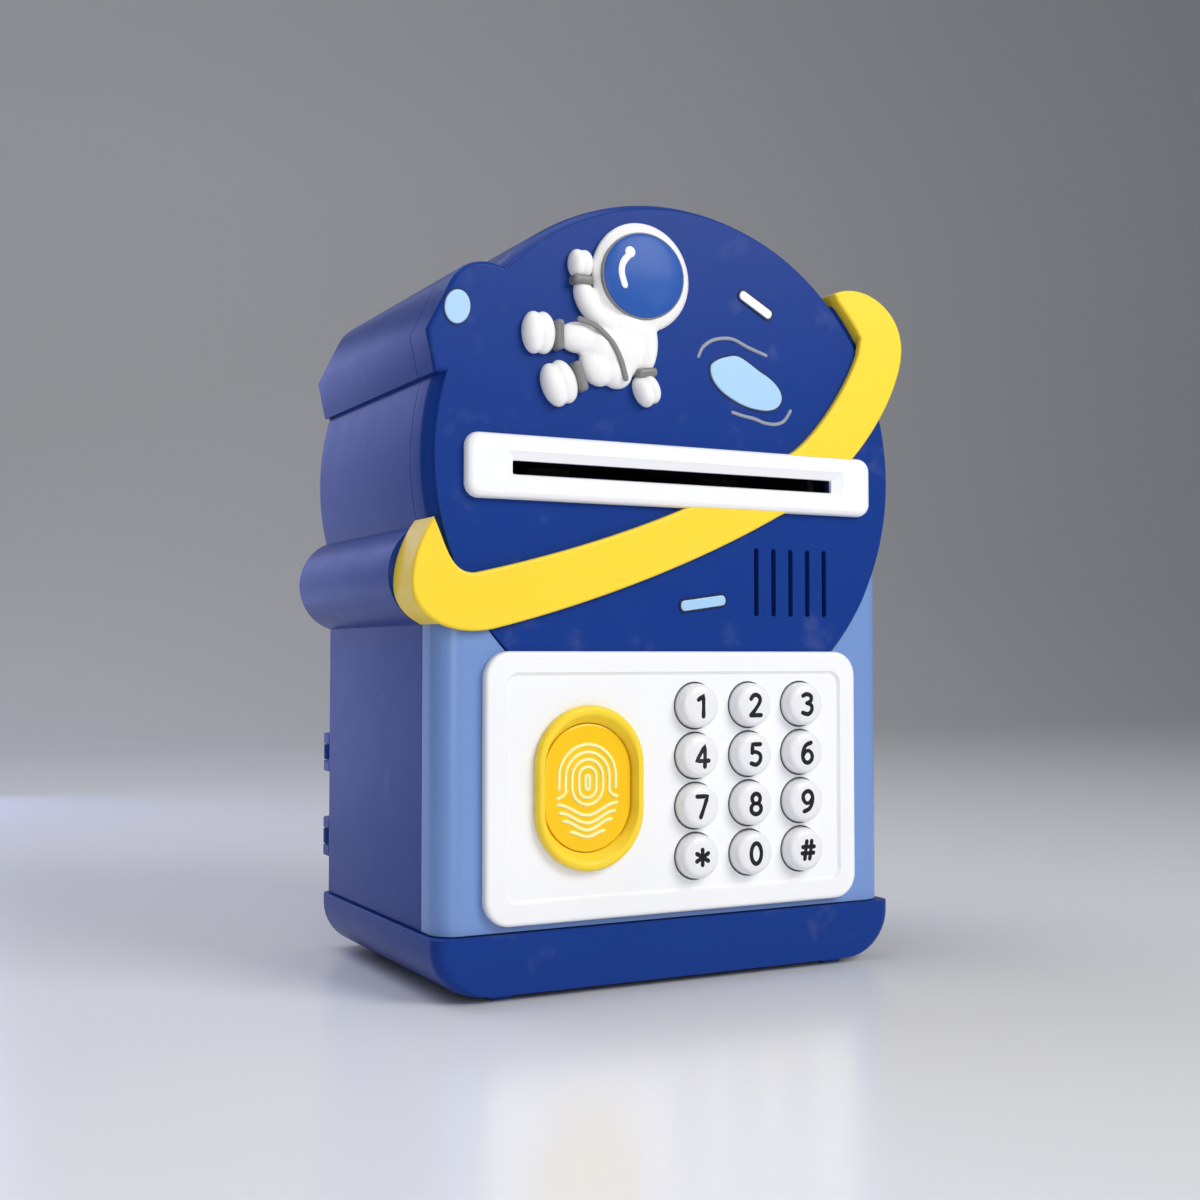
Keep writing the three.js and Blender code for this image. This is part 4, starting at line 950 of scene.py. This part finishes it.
def face_inlays():
    """Ear oval, crater, arcs and dashes, each a thin plate with a soft edge."""
    ear = slab("ear_oval", oval(*EAR_OVAL), -0.5, 0.4, front=0.3, steps=2)
    crater_points = [(9.7, 158.2), (11.2, 159.9), (14.7, 161.3), (18.7, 161.6), (24.8, 158.4), (28.4, 156.5),
                     (31.1, 154.1), (32, 151.5), (30.6, 149.1), (27.5, 148), (23, 148.2), (18.6, 149.3),
                     (13.4, 151.9), (10.4, 155)]
    crater_loop = smooth_loop(list(reversed(crater_points)))
    crater = slab("crater_inlay", crater_loop, -0.5, 0.4, front=0.3, steps=2)
    for piece in (ear, crater):
        finish_piece(piece, ICE_BLUE, "housing", "graphic_blue")
    lines = [slab("line", inset(oval(*EAR_OVAL), -0.3), -0.12, 0.4),
             slab("line", inset(crater_loop, -0.45), -0.12, 0.4),
             bar("line", 23.8, 176, 11.9, 3.4, -28, -0.12, 0.02), bar("line", 7.3, 96.5, 14.5, 3.6, 8, -0.12, 0.02)]
    finish_piece(join("inlay_lines", lines), NAVY, "housing", "dark_blue_plastic")
    top = [(6.1, 160.7), (7.4, 163.2), (10.4, 165.3), (14.3, 166.2), (17.4, 166), (21.3, 164.5), (27.1, 162.8)]
    low = [(16.6, 146.8), (19.9, 146.1), (23.4, 145.6), (26.6, 144.7), (30.1, 144.6), (32.9, 145.7), (34.9, 148.5)]
    arcs = [tube("arc", [(x, -0.05, z) for x, z in smooth_path(line, 4)], 0.5, flat=0.7) for line in (top, low)]
    finish_piece(join("crater_arcs", arcs, 60), LINE_GREY, "housing", "white_plastic")
    dash = bar("dash", 23.8, 176, 11.0, 2.5, -28, -0.5, 0.25)
    finish_piece(join("white_dash", [dash]), WHITE, "housing", "white_plastic")
    dash = bar("dash", 7.3, 96.5, 13.6, 2.7, 8, -0.5, 0.25)
    finish_piece(join("blue_dash", [dash]), ICE_BLUE, "housing", "graphic_blue")


# ------------------------------------------------------------------ rear door

def rear_door():
    panel = slab("rear_door_skin", rounded(DOOR_LEFT, DOOR_X1, DOOR_Z0, DOOR_Z1, 3), REAR_Y - 2.2, REAR_Y,
                 back=0.5, steps=3)
    pull = slab("pull", rounded(DOOR_X1 - 7, DOOR_X1 - 3, 34, 53, 1.9), REAR_Y - 1, REAR_Y + 2.6, back=0.8, steps=4)
    tongue = brick("tongue", 39, 46.5, 72.2, REAR_Y - 1, 58.5, 61.5)
    keeper = brick("keeper", 40.7, 47.5, 73.7, 78.3, 56, 64)
    door = combine(combine(panel, [pull, tongue], "UNION"), [keeper], "DIFFERENCE")
    straps = []
    for low in HINGE_LOW:
        straps.append(hinge_knuckle("strap", low + 3.3, low + HINGE_TALL - 3.3, 12))
    return combine(door, straps, "UNION")


# ------------------------------------------------------------------ carried-over CAD pieces

CARRIED = {
    "key_membrane": (SILICONE, "silicone"), "control_board": (BOARD, "board_green"),
    "speaker": (BLACK, "black_plastic"), "hinge_pin_lower": (STEEL, "steel"), "hinge_pin_upper": (STEEL, "steel"),
    "latch_solenoid": (STEEL, "steel"), "latch_plunger": (STEEL, "steel"), "latch_spring": (STEEL, "steel"),
    "feed_chassis": (BLACK, "black_plastic"), "feed_motor": (STEEL, "steel"),
    "motor_pinion": (NATURAL, "cream_plastic"), "feed_gear": (NATURAL, "cream_plastic"),
    "drive_shaft": (STEEL, "steel"), "pinch_shaft": (STEEL, "steel"),
    "drive_roller_left": (RUBBER, "rubber"), "drive_roller_right": (RUBBER, "rubber"),
    "pinch_roller_left": (RUBBER, "rubber"), "pinch_roller_right": (RUBBER, "rubber"),
    "battery_cover": (DARK_BLUE, "dark_blue_plastic"), "battery_screw": (STEEL, "steel"),
    "battery_cell_1": (SLEEVE, "cell_sleeve"), "battery_cell_2": (SLEEVE, "cell_sleeve"),
    "battery_cell_3": (SLEEVE, "cell_sleeve"), "battery_contacts_left": (BRASS, "brass"),
    "battery_contacts_right": (BRASS, "brass"), "cash_partition": (NATURAL, "cream_plastic"),
    "code_set_button": (BLACK, "black_plastic"), "case_screw_1": (STEEL, "steel"),
    "case_screw_2": (STEEL, "steel"), "case_screw_3": (STEEL, "steel"), "case_screw_4": (STEEL, "steel"),
}


def dress_carried():
    for name, (material, slot) in CARRIED.items():
        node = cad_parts[name]
        if node.material_slots:
            node.material_slots[0].material = material
        else:
            node.data.materials.append(material)
        edge = node.modifiers.new("edge", "BEVEL")
        edge.width = 0.12 * MM
        edge.segments = 2
        edge.limit_method = "ANGLE"
        edge.angle_limit = math.radians(40)


# ------------------------------------------------------------------ the whole bank

camera()
studio()
pale_floor()

finish_piece(front_shell(), DARK_BLUE, "housing", "dark_blue_plastic", "front_shell")
finish_piece(rear_shell(), DARK_BLUE, "housing", "dark_blue_plastic", "rear_shell")
# Painted shade: navy core behind the seam between the shells.
finish_piece(shade_groove(), NAVY, "housing", "dark_blue_plastic")
finish_piece(fascia(), LIGHT_BLUE, "housing", "light_blue_plastic", "lower_fascia")
finish_piece(base_tray(), DARK_BLUE, "housing", "dark_blue_plastic", "base_tray")
# Feet in the body's blue with painted sheen.
finish_piece(feet(), FEET_BLUE_SHEEN, "housing", "dark_blue_plastic")
finish_piece(ring_trim(), YELLOW, "housing", "yellow_plastic", "ring_trim")
finish_piece(note_bezel(), WHITE, "housing", "white_plastic", "note_bezel")
finish_piece(keypad_panel(), WHITE, "housing", "white_plastic", "keypad_panel")
finish_piece(fingerprint_rim(), YELLOW, "housing", "yellow_plastic", "fingerprint_bezel")
finish_piece(fingerprint_dish(), DEEP_YELLOW, "fingerprint_pad", "deep_yellow_plastic", "fingerprint_pad")
finish_piece(fingerprint_ridges(), CREAM, "fingerprint_pad", "yellow_plastic")
for key_name, (key_x, key_z) in key_places().items():
    finish_piece(key_cap(key_name, key_x, key_z), KEY_WHITE, key_name, "key_plastic", key_name)
    finish_piece(key_mark(key_name, key_x, key_z), INK, key_name, "print_ink")
# Painted shade: dark rings in the gaps round the keys.
finish_piece(key_gap_shade(), KEY_GAP_SHADE, "housing", "white_plastic")
figure_pieces()
face_inlays()
finish_piece(rear_door(), DARK_BLUE, "rear_door", "dark_blue_plastic", "rear_door")
dress_carried()
